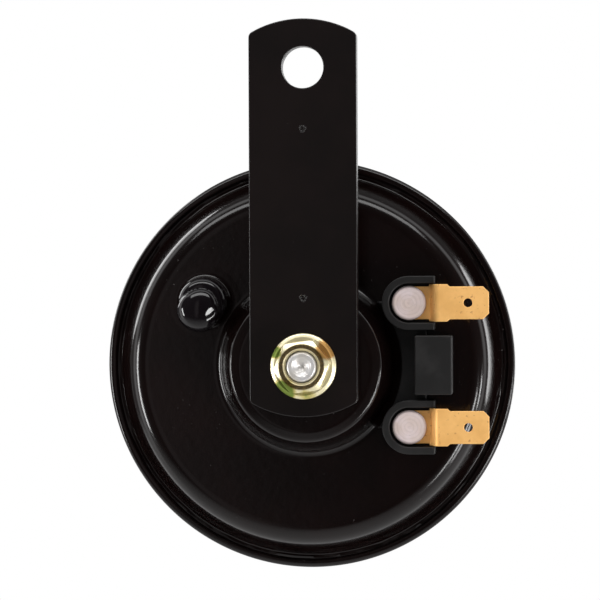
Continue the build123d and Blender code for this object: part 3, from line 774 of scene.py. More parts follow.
@dataclass(frozen=True)
class Chromate(Finish):
    """Yellow chromate over zinc: cream, gold and green by the thickness of the film, and painted shade in browns on
    the nut's end face.
    """

    end_ring: tuple[float, float] = (3.5, 4.35)
    end_level: float = -5.3
    end_shade_share: float = 0.92
    green: Colour = (0.2, 0.27, 0.05)
    straw: Colour = (0.7, 0.6, 0.22)
    gold: Colour = (0.55, 0.3, 0.09)
    end_shade_browns: tuple[Colour, Colour] = ((0.05, 0.028, 0.006), (0.22, 0.13, 0.03))
    metallic: float = 0.8
    patch_size: float = 2.2
    patch_share: float = 0.22
    fine_size: float = 0.35
    fine_share: float = 0.08
    fine_depth: float = 0.004
    spots: tuple[tuple[float, float, float, float], ...] = (
        (-5.1, 2.7, 1.9, -0.3),
        (-3.6, -4.6, 3.6, -0.3),
        (1.0, -6.0, 2.6, -0.15),
        (4.9, 3.4, 3.4, 0.26),
    )

    def feeds(self, sheet: ShaderSheet) -> dict[str, Any]:
        """Colours in patches over a bright metal, with a slight grain, and painted shade: a dark brown ring on the end
        face round the stud.

        The film's thickness is a noise with a rise or a fall in each of the spots, given by place, reach and amount.

        Args:
            sheet: The material's nodes.

        Returns:
            The shader's inputs.
        """
        fine = sheet.grain(self.fine_size, 3.0)
        axis = sheet.node("ShaderNodeVectorMath", {"operation": "MULTIPLY"}, {0: sheet.place(), 1: (1e3, 0.0, 1e3)})
        thick = 0.5 + self.patch_share * (sheet.grain(self.patch_size, 3.0) - 0.5) + self.fine_share * (fine - 0.5)
        for side, rise, spread, amount in self.spots:
            near = sheet.distance(axis, (side, 0.0, rise - HOLE_TO_STUD))
            thick = thick + amount * near.between(spread, 0.2 * spread)
        stops = [(0.3, self.green), (0.37, self.straw), (0.44, self.colour), (0.6, self.colour), (0.68, self.gold)]
        film = sheet.ramp(thick, stops)
        # painted shade: the nut's end face round the stud is blended to dark browns, far darker than the film
        reach = sheet.distance(axis, (0.0, 0.0, -HOLE_TO_STUD))
        level = sheet.along("Y")
        low, high = self.end_ring
        ring = reach.between(low - 0.08, low + 0.08) * reach.between(high + 0.15, high - 0.15)
        ring = ring * level.between(self.end_level + 0.2, self.end_level)
        brown = sheet.blend(fine.between(0.4, 0.7), *self.end_shade_browns)
        colour = sheet.blend(ring * self.end_shade_share, film, brown)
        rough = self.roughness + 0.14 * fine
        relief = sheet.bump(fine, self.fine_depth)
        return {"Base Color": colour, "Metallic": self.metallic, "Roughness": rough, "Normal": relief}


@dataclass(frozen=True)
class Moulding(Finish):
    """Moulded plastic: a fine matt grain with paler rubbed patches."""

    grain_size: float = 0.3
    grain_depth: float = 0.012
    rubbed: Colour = (0.05, 0.048, 0.048)
    shine: float = 0.4
    cloud_size: float = 5.0

    def feeds(self, sheet: ShaderSheet) -> dict[str, Any]:
        """Colour with rubbed patches, and a grain in the roughness and the relief.

        Args:
            sheet: The material's nodes.

        Returns:
            The shader's inputs.
        """
        clouds = sheet.grain(self.cloud_size, 4.0)
        grain = sheet.grain(self.grain_size, 3.0, 0.7)
        colour = sheet.blend(clouds.between(0.45, 0.75), self.colour, self.rubbed)
        rough = self.roughness * (0.9 + 0.2 * grain)
        feeds = {"Base Color": colour, "Roughness": rough, "Normal": sheet.bump(grain, self.grain_depth)}
        return feeds | {"Specular IOR Level": self.shine}


class Finishes(Enum):
    """The finishes of the horn, each named as the slot that it fills."""

    GLOSS = Enamel("black_gloss_paint", (0.0027, 0.0013, 0.0012), 0.12)
    SATIN = Enamel("black_satin_paint", (0.0026, 0.0013, 0.0012), 0.28, 0.9, 0.008, 0.35)
    ZINC = Chromate("yellow_zinc", (0.97, 0.88, 0.58), 0.24)
    STEEL = Metal("bright_steel", (0.74, 0.73, 0.73), 0.34, (0.35, 0.27, 0.26), 0.4, 0.5, 0.01, (1.0, 1.0, 1.0), 0.6)
    BRASS = Metal(
        "terminal_brass", (0.98, 0.56, 0.19), 0.44, (0.42, 0.17, 0.05), 0.75, 0.3, 0.006, (1.0, 1.0, 6.0), 0.45
    )
    RIVET = StruckMetal(
        "rivet_metal", (0.7, 0.6, 0.61), 0.5, (0.3, 0.24, 0.23), 0.25, 0.3, 0.008, (1.0, 1.0, 1.0), 0.3
    )
    PLASTIC = Moulding("base_plastic", (0.0055, 0.005, 0.005), 0.54, 0.3, 0.012, (0.013, 0.012, 0.012))
    COMPOUND = Enamel("sealing_compound", (0.0025, 0.002, 0.0027), 0.07, 2.2, 0.02, 0.1)
    BOARD = Moulding("gasket_board", (0.15, 0.105, 0.06), 0.9, 0.5, 0.03, (0.2, 0.15, 0.09))
    SPRING = Metal("spring_steel", (0.26, 0.27, 0.3), 0.35, (0.12, 0.1, 0.1), 0.3, 0.3, 0.003, (6.0, 1.0, 1.0))
    IRON = Metal("soft_iron", (0.5, 0.48, 0.46), 0.42, (0.2, 0.13, 0.09), 0.3)
    COPPER = Metal("enamelled_copper", (0.55, 0.2, 0.07), 0.25, (0.2, 0.07, 0.03), 0.3, 0.3, 0.02, (1.0, 3.0, 1.0))
    BOBBIN = Moulding("bobbin_plastic", (0.5, 0.47, 0.4), 0.6, 0.4, 0.01, (0.6, 0.56, 0.48))
    LAMINATE = Moulding("pad_laminate", (0.16, 0.07, 0.025), 0.6, 0.4, 0.02, (0.2, 0.1, 0.04))
    SILVER = Metal("contact_silver", (0.7, 0.69, 0.66), 0.3)
    SLEEVE = Moulding("lead_sleeve", (0.12, 0.012, 0.01), 0.35, 0.6, 0.01, (0.14, 0.02, 0.015))


def dress(piece: bpy.types.Object, finish: Finishes, body: str | None = "root", *nodes: str) -> bpy.types.Object:
    """Gives a new piece its finish, body and slot, and hides the nodes that it stands for.

    Args:
        piece: The piece.
        finish: Its finish.
        body: The body that it moves with, or None for a piece that is left without one.
        nodes: The nodes that it replaces.

    Returns:
        The piece.
    """
    piece.data.materials.clear()
    piece.data.materials.append(finish.value.made())
    if body is not None:
        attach(piece, body)
    if nodes:
        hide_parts(*nodes)
    log.info("%s: %d faces, %s", piece.name, len(piece.data.polygons), finish.value.name)
    return piece


# Sub-assemblies


@dataclass
class Housing:
    """Rear housing pressed from sheet, with its boss, and the front ring rolled over its flange."""

    wall: Sequence[tuple[float, float]] = (
        (39.1, -0.7),
        (37.3, -0.7),
        (34.1, 8.0),
        (17.0, 8.0),
        (14.7, 16.9),
        (12.8, 17.5),
        (3.15, 17.5),
    )
    bends: Sequence[float] = (0.8, 3.7, 1.5, 1.1, 2.0)
    ring: Sequence[tuple[float, float]] = ((35.5, -3.75), (39.985, -3.75), (39.985, 0.0), (38.6, 0.0), (38.35, -0.3))
    ring_bends: Sequence[float] = (1.0, 0.9, 0.25)
    ring_sheet: float = 0.7
    boss_place: tuple[float, float] = (-20.1, 12.3)
    boss_wall: Sequence[tuple[float, float]] = ((0.0, 14.0), (4.0, 14.0), (4.75, 8.0), (8.2, 8.0))
    boss_bend: float = 1.2
    pool: tuple[float, float, float] = (38.0, 0.35, 0.22)
    pool_floor: float = -1.2
    skirt: tuple[float, float] = (5.8, 8.2)
    skirt_rise: float = 1.5
    skirt_lift: float = 0.012
    skirt_most: float = 0.35
    lip: tuple[float, float] = (38.5, 39.6)
    lip_floor: float = -1.0
    columns: int = 360

    def face_level(self, radius: Array) -> Array:
        """Height of the pressed face at a radius, read from the rounded section."""
        path = filleted(self.wall, self.bends, 12)[::-1]
        return np.interp(radius, path[:, 0], path[:, 1])

    def pressing(self) -> bpy.types.Object:
        """The housing: its section turned about the axis, with slight waves at the flange's foot, and the boss.

        Returns:
            The piece.
        """
        section = sheet_section(self.wall, self.bends, SHEET, 0.45)
        net = turned(section, self.columns)
        radius, angle = polar(net)
        middle, width, height = self.pool
        pool = np.exp(-(((radius - middle) / width) ** 2)) * (net[..., 2] > self.pool_floor)
        uneven = waves(angle, [(7, 0.1, 0.4), (19, 0.09, 1.9), (43, 0.06, 0.2), (97, 0.03, 2.2)])
        net[..., 2] += pool * np.clip(height + uneven, 0.0, 0.5)
        skin = Skin("housing_pressing").net(net, rows_close=True)
        return self.boss(skin).piece()

    def boss(self, skin: Skin) -> Skin:
        """Adds the boss: its wall turned about its own axis, with a skirt that follows the face under it.

        Args:
            skin: The housing's skin.

        Returns:
            The same skin.
        """
        path = spaced(filleted(self.boss_wall, (self.boss_bend, 1.0), 10), 0.3)
        net = turned(path, 128, self.boss_place)
        sunk = 1.0 - smooth_step(net[..., 2], FACE_HEIGHT, FACE_HEIGHT + self.skirt_rise)
        level = self.face_level(np.hypot(net[..., 0], net[..., 1])) - FACE_HEIGHT
        reach = np.linalg.norm(net[..., :2] - np.array(self.boss_place), axis=-1)
        under = self.skirt_lift * (2.0 * smooth_step(reach, *self.skirt) - 1.0)
        net[..., 2] += sunk * np.where(level > 0.0, np.minimum(level, self.skirt_most), level) - under
        back = net[-1:].copy()
        back[..., 2] -= SHEET / 2.0
        middle = back.copy()
        middle[..., :2] = self.boss_place
        return skin.net(np.concatenate((net, back, middle)))

    def crimp(self) -> bpy.types.Object:
        """The ring: its section turned, its lip a little uneven where it was rolled over the flange.

        Returns:
            The piece.
        """
        section = sheet_section(self.ring, self.ring_bends, self.ring_sheet, 0.3)
        net = turned(section, self.columns)
        radius, angle = polar(net)
        lip = (1.0 - smooth_step(radius, *self.lip)) * (net[..., 2] > self.lip_floor)
        uneven = waves(angle, [(3, 0.05, 0.3), (11, 0.035, 1.2), (29, 0.02, 0.7), (61, 0.015, 2.9)])
        net[..., :2] *= (1.0 + lip * uneven / radius)[..., None]
        return Skin("rolled_ring").net(net, rows_close=True).piece()

    def build(self) -> None:
        """Makes and dresses both."""
        dress(self.pressing(), Finishes.GLOSS, "root", "rear_housing")
        dress(self.crimp(), Finishes.GLOSS, "root", "front_ring")


@dataclass
class Seal:
    """Sealing compound laid on the boss, which ran down one side before it set."""

    place: tuple[float, float] = Housing.boss_place
    wall: Sequence[tuple[float, float]] = Housing.boss_wall
    bend: float = Housing.boss_bend
    thickness: float = 2.5
    layer: float = 0.62
    dome: tuple[float, float, float, float] = (-0.5, -1.2, 3.5, 3.8)
    flat: tuple[float, float, float] = (1.81, -2.3, 1.15)
    flat_slope: tuple[float, float] = (0.477, -0.227)
    reach: float = 5.9
    run_reach: float = 3.6
    run_turn: float = math.radians(-140.0)
    run_spread: float = 1.45
    lean: float = math.radians(-28.0)
    seat: float = 13.4
    tuck: float = 0.12
    rows: int = 60
    columns: int = 144

    def dome_height(self, x: Array, z: Array) -> Array:
        """Height of the dome on the layer: a leaning half ellipsoid, c (1 - u^2 - v^2)^(1/2), under a sloped flat.

        Args:
            x: Places across the boss, from its axis.
            z: Places up the boss, from its axis.

        Returns:
            The height at each place.
        """
        side, rise = x - self.dome[0], z - self.dome[1]
        across = (side * math.cos(self.lean) + rise * math.sin(self.lean)) / self.dome[2]
        down = (rise * math.cos(self.lean) - side * math.sin(self.lean)) / self.dome[3]
        bulge = np.clip(1.0 - across**2 - down**2, 0.0, 1.0) ** 0.5
        side, rise, level = self.flat
        flat = level - self.flat_slope[0] * (x - side) - self.flat_slope[1] * (z - rise)
        return np.minimum((self.thickness - self.layer) * bulge, np.maximum(flat, 0.0))

    def build(self) -> None:
        """Makes the lump: a point s along the boss's wall at angle a stands off it by t (1 - (s / S(a))^4)^(1/2) + D.

        S(a) is how far the compound reached, more where it ran, and D is the dome's height.
        """
        path = spaced(filleted(self.wall, (self.bend, self.bend), 10), 0.1)
        along = distances(path)
        slope = np.gradient(path, axis=0)
        slope /= np.linalg.norm(slope, axis=1)[:, None]
        angle = round_angles(self.columns)
        turn = np.angle(np.exp(1j * (angle - self.run_turn)))
        border = self.reach + self.run_reach * np.exp(-((turn / self.run_spread) ** 4))
        border += waves(angle, [(2, 0.2, 0.6), (3, 0.22, 2.1), (5, 0.12, 0.2)])
        part = np.sin(np.linspace(0.0, math.pi / 2.0, self.rows))[:, None]
        reach = part * border
        radius = np.interp(reach, along, path[:, 0])
        height = np.interp(reach, along, path[:, 1])
        out = np.interp(reach, along, -slope[:, 1])
        up = np.interp(reach, along, slope[:, 0])
        x = radius * np.cos(angle)
        z = radius * np.sin(angle)
        layer = self.layer * (1.0 - part**4.0) ** 0.5
        depth = layer + self.dome_height(x, z) * (1.0 - part**6.0)
        away = depth * out
        net = np.stack((x + away * np.cos(angle), z + away * np.sin(angle), height + depth * up), axis=-1)
        net[..., :2] += self.place
        net[-1, :, 2] -= self.tuck
        base = net[-1:].copy()
        base[..., :2] = self.place
        base[..., 2] = self.seat
        piece = Skin("sealing_lump").net(np.concatenate((net, base))).piece(70.0)
        dress(piece, Finishes.COMPOUND, "root", "screw_seal")


@dataclass
class Bracket:
    """Strap of three leaves, the outer one with two stake marks."""

    leaf: float = 1.5
    half_width: float = 10.3
    end_radius: float = 20.0
    top: float = 66.29
    bottom: float = -9.7
    corner: float = 1.2
    hole_place: tuple[float, float] = (0.0, 57.0)
    hole_radius: float = 4.0
    stud_radius: float = 3.15
    marks: Sequence[float] = (13.0, 45.3)
    mark_depth: float = 0.3
    mark_edge: tuple[float, float] = (0.45, 0.8)
    mark_lattice: tuple[float, float, float] = (0.05, 1.3, 0.06)
    bump_place: float = 0.42
    bump_size: float = 0.22
    bump_share: float = 1.2
    bump_edge: tuple[float, float] = (0.7, 1.0)
    outer_rounding: float = 0.22
    rounding: float = 0.12

    def outline(self) -> Array:
        """Leaf outline: straight sides, and ends that are arcs of a larger circle, with rounded corners.

        Returns:
            The outline's points, anticlockwise.
        """
        rise = self.end_radius - math.sqrt(self.end_radius**2 - self.half_width**2)
        reach = math.asin(self.half_width / self.end_radius)
        angle = np.linspace(-reach, reach, 25)
        lower = np.column_stack((self.end_radius * np.sin(angle), self.bottom + self.end_radius * (1 - np.cos(angle))))
        upper = np.column_stack((-self.end_radius * np.sin(angle), self.top - self.end_radius * (1 - np.cos(angle))))
        half, cut = self.half_width, self.corner
        lower = lower[np.abs(lower[:, 0]) < half - cut]
        upper = upper[np.abs(upper[:, 0]) < half - cut]
        points = [*lower, (half, self.bottom + rise), (half, self.top - rise), *upper]
        points += [(-half, self.top - rise), (-half, self.bottom + rise)]
        sharp = [0.02] * len(lower) + [cut, cut] + [0.02] * len(upper) + [cut, cut]
        return rounded_loop([tuple(map(float, p)) for p in points], sharp, 0.8)

    def relief(self, x: Array, z: Array) -> Array:
        """Depth of the stake marks: a pit 1 - smoothstep(r) with three small bumps e^(-(d / w)^2) standing in it.

        Args:
            x: Places across the strap.
            z: Places up the strap.

        Returns:
            The depth at each place.
        """
        depth = np.zeros(np.broadcast(x, z).shape)
        for mark in self.marks:
            reach = np.hypot(x, z - mark)
            depth += self.mark_depth * (1.0 - smooth_step(reach, *self.mark_edge))
            bump = self.bump_share * self.mark_depth * (1.0 - smooth_step(reach, *self.bump_edge))
            for turn in np.radians((90.0, 210.0, 330.0)):
                off = np.hypot(x - self.bump_place * np.cos(turn), z - mark - self.bump_place * np.sin(turn))
                depth -= bump * np.exp(-((off / self.bump_size) ** 2))
        return depth

    def build(self) -> None:
        """Makes and dresses the leaves, from the hub outwards."""
        holes = [circle(self.stud_radius, count=96), circle(self.hole_radius, self.hole_place, 128)]
        rings = [circle(r, (0.0, mark), 36) for mark in self.marks for r in np.arange(*self.mark_lattice)]
        for index, name in enumerate(("inner", "middle", "outer")):
            base = BRACKET_HEIGHT - (3 - index) * self.leaf
            outer = name == "outer"
            lattice = np.vstack(rings) if outer else np.zeros((0, 2))
            rounding = self.outer_rounding if outer else self.rounding
            plate = Plate(self.outline(), self.leaf, rounding, holes, lattice)

            def lie(x: Array, z: Array, level: Array) -> Array:
                """Flat place and level to the point, less the marks on the outer leaf's outer face."""
                sunk = self.relief(x, z) * (level > self.leaf - 1e-6) if outer else 0.0
                return np.stack((x, z, base + level - sunk), axis=-1)

            piece = plate.onto(Skin(f"strap_leaf_{name}"), lie).piece(50.0)
            dress(piece, Finishes.SATIN, "root", f"bracket_leaf_{name}")


@dataclass
class StudAndNut:
    """Pole core whose tail is the threaded stud, and the flange nut on it."""

    stud_radius: float = 3.0
    stud_end: float = 28.3
    pitch: float = 1.0
    thread_depth: float = 0.5
    core_radius: float = 5.0
    core_face: float = 9.0
    hub_inner_top: float = 16.5
    thread_run: tuple[float, float] = (1.24, 21.0)
    centre_radius: float = 1.9
    centre_depth: float = 1.3
    flats: float = 9.6
    corners: float = 10.8
    flange_radius: float = 6.3
    nut_height: float = 6.0
    nut_turn: float = math.radians(7.7)
    nut_bore: float = 3.06
    corner_blur: float = 0.06
    columns: int = 240

    def stud(self) -> bpy.types.Object:
        """The stud: its section turned, with a thread of radius R - d |2 frac(h / p - a / 2 pi) - 1| near its end.

        Returns:
            The piece.
        """
        end, side, core = self.stud_end, self.stud_radius, self.core_radius
        tip = [(0.0, end - self.centre_depth), (0.35, end - self.centre_depth + 0.12), (1.2, end - 0.42)]
        tip += [(self.centre_radius, end - 0.06), (2.3, end), (2.5, end), (2.74, end - 0.3), (2.74, end - 0.9)]
        tip += [(side, end - 1.2)]
        tip = spaced(filleted(tip, (0.1, 0.6, 0.25, 0.15, 0.15, 0.05, 0.05), 5), 0.12)
        start, stop = self.thread_run
        thread = np.column_stack((np.full(90, side), np.linspace(end - start, stop, 90)))
        root = [(side, stop - 0.1), (side, self.hub_inner_top), (core, self.hub_inner_top)]
        root += [(core, self.core_face + 0.3), (core - 0.3, self.core_face), (0.0, self.core_face)]
        section = np.vstack((tip, thread, np.array(root)))
        net = turned(section, self.columns // 2)
        radius, angle = polar(net)
        saw = np.abs(2.0 * np.mod(net[..., 2] / self.pitch - angle / (2.0 * math.pi), 1.0) - 1.0)
        span = smooth_step(net[..., 2], stop - 0.1, stop + 0.3) * smooth_step(radius, side - 0.1, side - 0.01)
        net[..., :2] *= (1.0 - span * self.thread_depth * saw / side)[..., None]
        pits = waves(3.0 * angle + 5.0 * radius, [(1, 0.5, 0.3), (2, 0.5, 1.0)]) * np.sin(7.0 * radius + 2.0 * angle)
        dents = smooth_step(net[..., 2], end - 1.4, end - 0.9) * (radius < 2.6)
        net[..., 2] -= 0.045 * dents * (1.0 + pits) * smooth_step(radius, 0.0, 0.8)
        return Skin("stud_and_core").net(net).piece(50.0)

    def nut(self) -> bpy.types.Object:
        """The nut: a section turned, its body's radius held to the hexagon (flats / 2) / cos(a mod 60 - 30).

        Returns:
            The piece.
        """
        base = BRACKET_HEIGHT
        top = base + self.nut_height
        corner, bore, flange = self.corners / 2.0, self.nut_bore, self.flange_radius
        rows = [(bore, base, 0), (3.2, base, 0), (flange - 0.25, base, 0), (flange, base + 0.2, 0)]
        rows += [(flange, base + 0.6, 0), (flange - 0.1, base + 0.82, 0), (flange - 0.32, base + 0.95, 0)]
        rows += [(5.62, base + 1.28, 0), (5.5, base + 1.42, 1), (corner, base + 1.62, 1)]
        rows += [(corner, base + 3.0, 1), (corner, top - 0.78, 1), (corner - 0.16, top - 0.6, 1)]
        rows += [(4.72, top - 0.3, 1), (4.3, top - 0.07, 1), (4.12, top, 1), (3.8, top, 1), (3.56, top - 0.04, 1)]
        rows += [(3.42, top - 0.16, 1), (bore, top - 0.62, 1), (bore, base + 2.0, 0)]
        table = spaced(np.array(rows, float), 0.16, closed=True)
        net = turned(table[:, :2], self.columns)
        radius, angle = polar(net)
        sector = np.mod(angle - self.nut_turn, math.pi / 3.0) - math.pi / 6.0
        gap = (radius - self.flats / 2.0 / np.cos(sector)) / self.corner_blur
        held = radius - self.corner_blur * np.logaddexp(0.0, np.clip(gap, -60.0, 60.0))
        hexed = np.where(table[:, 2][:, None] > 0.5, held, radius)
        net[..., :2] *= (hexed / radius)[..., None]
        return Skin("hexagon_flange_nut").net(net, rows_close=True).piece(35.0)

    def build(self) -> None:
        """Makes and dresses both."""
        dress(self.stud(), Finishes.STEEL, "root", "core_stud")
        dress(self.nut(), Finishes.ZINC, "root", "flange_nut")


@dataclass
class Terminals:
    """Two bent blades, their rivets and the moulded base that carries them."""

    x: float = 19.8
    z: float = 11.95
    thickness: float = 0.8
    floor: float = 12.0
    blade: float = 15.2
    foot_radius: float = 3.2
    riser: tuple[float, float] = (24.5, 25.5)
    tip: float = 35.2
    shoulder_end: float = 27.2
    shoulder_width: float = 7.2
    blade_width: float = 6.3
    chamfer: float = 1.1
    hole_radius: float = 0.85
    hole_to_tip: float = 4.0
    neck_gap: float = 0.9
    rivet_hole: float = 1.58
    rivet_tail: Sequence[tuple[float, float]] = ((0.0, 4.9), (2.0, 4.9), (2.4, 5.3), (2.4, 5.7), (1.5, 5.7))
    rivet_shank: float = 1.5
    rivet_radius: float = 3.3
    rivet_height: float = 1.2
    collar_radius: float = 5.2
    collar_wall: float = 1.4
    collar_end: float = 24.7
    collar_top: float = 14.7
    floor_inset: float = 0.3
    block: tuple[float, float, float] = (20.9, 28.1, 5.7)
    block_top: float = 15.7
    strip_top: float = 10.6
    strip_inner: float = 18.25
    strip_end: float = 23.0
    strip_over: float = 0.3

    def _path(self) -> tuple[Array, Array]:
        """Middle line of the bent strip.

        Returns:
            Its points as x and height, and how far along it each one is.
        """
        foot = self.x - self.foot_radius
        corners = [(foot, self.floor), (self.riser[0], self.floor)]
        corners += [(self.riser[1], self.blade), (self.tip, self.blade)]
        middle = mitred(corners, self.thickness / 2.0)
        path = spaced(filleted([tuple(p) for p in middle], (0.7, 0.7), 10), 0.25)
        return path, distances(path)

    def blade_piece(self, name: str, z: float) -> bpy.types.Object:
        """A blade: a flat blank carried along the bent middle line, each level standing off along its normal.

        Args:
            name: Which of the two it is.
            z: Its place up the horn.

        Returns:
            The piece.
        """
        path, along = self._path()
        length = float(along[-1])
        slope = np.gradient(path, along, axis=0)
        slope /= np.linalg.norm(slope, axis=1)[:, None]

        def lie(s: Array, across: Array, level: Array) -> Array:
            """Place on the flat blank to the point on the bent strip.

            Args:
                s: Places along the blank.
                across: Places across it.
                level: Levels above its underside.

            Returns:
                The points.
            """
            x = np.interp(s, along, path[:, 0])
            h = np.interp(s, along, path[:, 1])
            rise = np.interp(s, along, slope[:, 1])
            run = np.interp(s, along, slope[:, 0])
            off = level - self.thickness / 2.0
            return np.stack((x - off * rise, z + across, h + off * run), axis=-1)

        shoulder = length - (self.tip - self.shoulder_end)
        neck = self.riser[0] - self.neck_gap - (self.x - self.foot_radius)
        eye = self.foot_radius
        wide, narrow = self.shoulder_width / 2.0, self.blade_width / 2.0
        arc = np.radians(np.linspace(270.0, 90.0, 17))
        foot = [(eye + eye * math.cos(a), eye * math.sin(a)) for a in arc[::-1]]
        right = [(neck, -eye), (neck + 0.1, -wide), (shoulder, -wide), (shoulder + 0.5, -narrow)]
        right += [(length - self.chamfer, -narrow), (length, -narrow + self.chamfer)]
        left = [(s, -across) for s, across in right[::-1]]
        points = foot + right + left
        sharp = [0.02] * len(foot) + [0.03, 0.03, 0.25, 0.3, 0.15, 0.15, 0.15, 0.15, 0.3, 0.25, 0.03, 0.03]
        outline = rounded_loop(points, sharp, 0.35, 4)
        holes = [circle(self.rivet_hole, (eye, 0.0), 32)]
        holes += [circle(self.hole_radius, (length - self.hole_to_tip, 0.0), 40)]
        bend = np.arange(neck - 0.6, shoulder - 0.4, 0.1)
        grid = np.stack(np.meshgrid(bend, np.linspace(-3.3, 3.3, 7)), axis=-1).reshape(-1, 2)
        plate = Plate(outline, self.thickness, 0.13, holes, grid, 3)
        return plate.onto(Skin(f"blade_terminal_{name}"), lie).piece(50.0)

    def rivet(self, name: str, z: float) -> bpy.types.Object:
        """A rivet: its section turned, the head dished and ringed by a little where it was struck.

        Args:
            name: Which of the two it is.
            z: Its place up the horn.

        Returns:
            The piece.
        """
        top = self.floor + self.thickness
        head = top + self.rivet_height
        section = [*self.rivet_tail, (self.rivet_shank, top), (3.18, top)]
        section += [(self.rivet_radius, top + 0.15), (self.rivet_radius, head - 0.38), (3.12, head - 0.1)]
        section += [(2.8, head - 0.01), (0.0, head)]
        net = turned(spaced(np.array(section), 0.14), 120, (self.x, z))
        across = net[..., :2] - np.array((self.x, z))
        radius = np.linalg.norm(across, axis=-1)
        angle = np.arctan2(across[..., 1], across[..., 0])
        on_top = (net[..., 2] > head - 0.2) * smooth_step(-radius, -3.1, -2.4)
        rings = 0.012 * np.sin(6.0 * radius + 0.4 * np.sin(2.0 * angle)) + 0.03 * np.exp(-((radius / 0.9) ** 2))
        net[..., 2] -= on_top * (rings + 0.01)
        return Skin(f"terminal_rivet_{name}").net(net).piece(50.0)

    def base(self) -> bpy.types.Object:
        """The base: a wall round each terminal on a U-shaped line, the floors in them, the strip and the block.

        Returns:
            The piece.
        """
        skin = Skin("terminal_moulding")

        def lie(x: Array, z: Array, level: Array) -> Array:
            """Place and level on a plate that stands on the housing's face to the point."""
            return np.stack((x, z, FACE_HEIGHT + level), axis=-1)

        def stand(outline: Array, top: float, edge: float, holes: Sequence[Array] = ()) -> None:
            """Adds a plate that reaches from the housing's face up to a height."""
            Plate(outline, top - FACE_HEIGHT, edge, holes).onto(skin, lie)

        turn = np.radians(np.linspace(90.0, 270.0, 40))
        half_turn = np.column_stack((np.cos(turn), np.sin(turn)))
        end = self.collar_end
        for side in (1.0, -1.0):
            middle = (self.x, side * self.z)
            outer = self.collar_radius * half_turn + middle
            inner = (self.collar_radius - self.collar_wall) * half_turn[::-1] + middle
            corners = [(end, outer[-1, 1]), (end, inner[0, 1])]
            others = [(end, inner[-1, 1]), (end, outer[0, 1])]
            points = [*map(tuple, outer), *corners, *map(tuple, inner), *others]
            sharp = [0.02] * 40 + [0.2, 0.2] + [0.02] * 40 + [0.2, 0.2]
            stand(rounded_loop(points, sharp, 0.5, 4), self.collar_top, 0.22)
            shrunk = (self.collar_radius - self.floor_inset) * half_turn + middle
            floor = np.vstack((shrunk, [(end - 0.02, shrunk[-1, 1]), (end - 0.02, shrunk[0, 1])]))
            hole = circle(self.rivet_hole, middle, 32)
            stand(spaced(floor, 0.6, closed=True), self.floor, 0.1, [hole])
        tall = self.z + self.strip_over
        reach = self.strip_inner
        low = math.asin(tall / reach)
        hub = [(reach * math.cos(a), reach * math.sin(a)) for a in np.linspace(-low, low, 40)[::-1]]
        points = [(self.strip_end, -tall), (self.strip_end, tall), *hub]
        stand(rounded_loop(points, [0.3, 0.3] + [0.02] * 40, 0.6, 4), self.strip_top, 0.25)
        left, right, half = self.block
        points = [(left, -half), (right, -half), (right, half), (left, half)]
        stand(rounded_loop(points, [0.35] * 4, 0.8), self.block_top, 0.3)
        return skin.piece(60.0)

    def build(self) -> None:
        """Makes and dresses the base, the blades and the rivets."""
        dress(self.base(), Finishes.PLASTIC, "root", "terminal_base")
        for name, z in (("upper", self.z), ("lower", -self.z)):
            dress(self.blade_piece(name, z), Finishes.BRASS, "root", f"terminal_{name}")
            dress(self.rivet(name, z), Finishes.RIVET, "root", f"rivet_{name}")


@dataclass
class Vibrator:
    """Diaphragm and tone disc, which show at the front of the horn."""

    diaphragm: Sequence[tuple[float, float]] = ((39.0, -2.2), (34.5, -2.2), (9.0, -3.4), (2.6, -3.4))
    diaphragm_bends: Sequence[float] = (6.0, 6.0)
    diaphragm_sheet: float = 0.35
    stroke: float = 0.8
    disc: Sequence[tuple[float, float]] = ((31.0, -7.0), (27.5, -8.4), (13.5, -8.4), (9.5, -6.55), (2.55, -6.55))
    disc_bends: Sequence[float] = (1.6, 1.6, 1.6)
    disc_sheet: float = 1.0
    columns: int = 300

    def build(self) -> None:
        """Makes and dresses both."""
        section = sheet_section(self.diaphragm, self.diaphragm_bends, self.diaphragm_sheet, 0.6)
        sheet = Skin("diaphragm_sheet").net(turned(section, self.columns), rows_close=True).piece()
        dress(sheet, Finishes.SPRING, "root", "diaphragm")
        rim = placed(np.float64(0.0), np.float64(HOLE_TO_STUD), np.float64(self.diaphragm[0][1]))
        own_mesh(sheet)
        section = sheet_section(self.disc, self.disc_bends, self.disc_sheet, 0.4)
        disc = Skin("pressed_tone_disc").net(turned(section, self.columns), rows_close=True).piece()
        dress(disc, Finishes.GLOSS, "vibrator", "tone_disc")


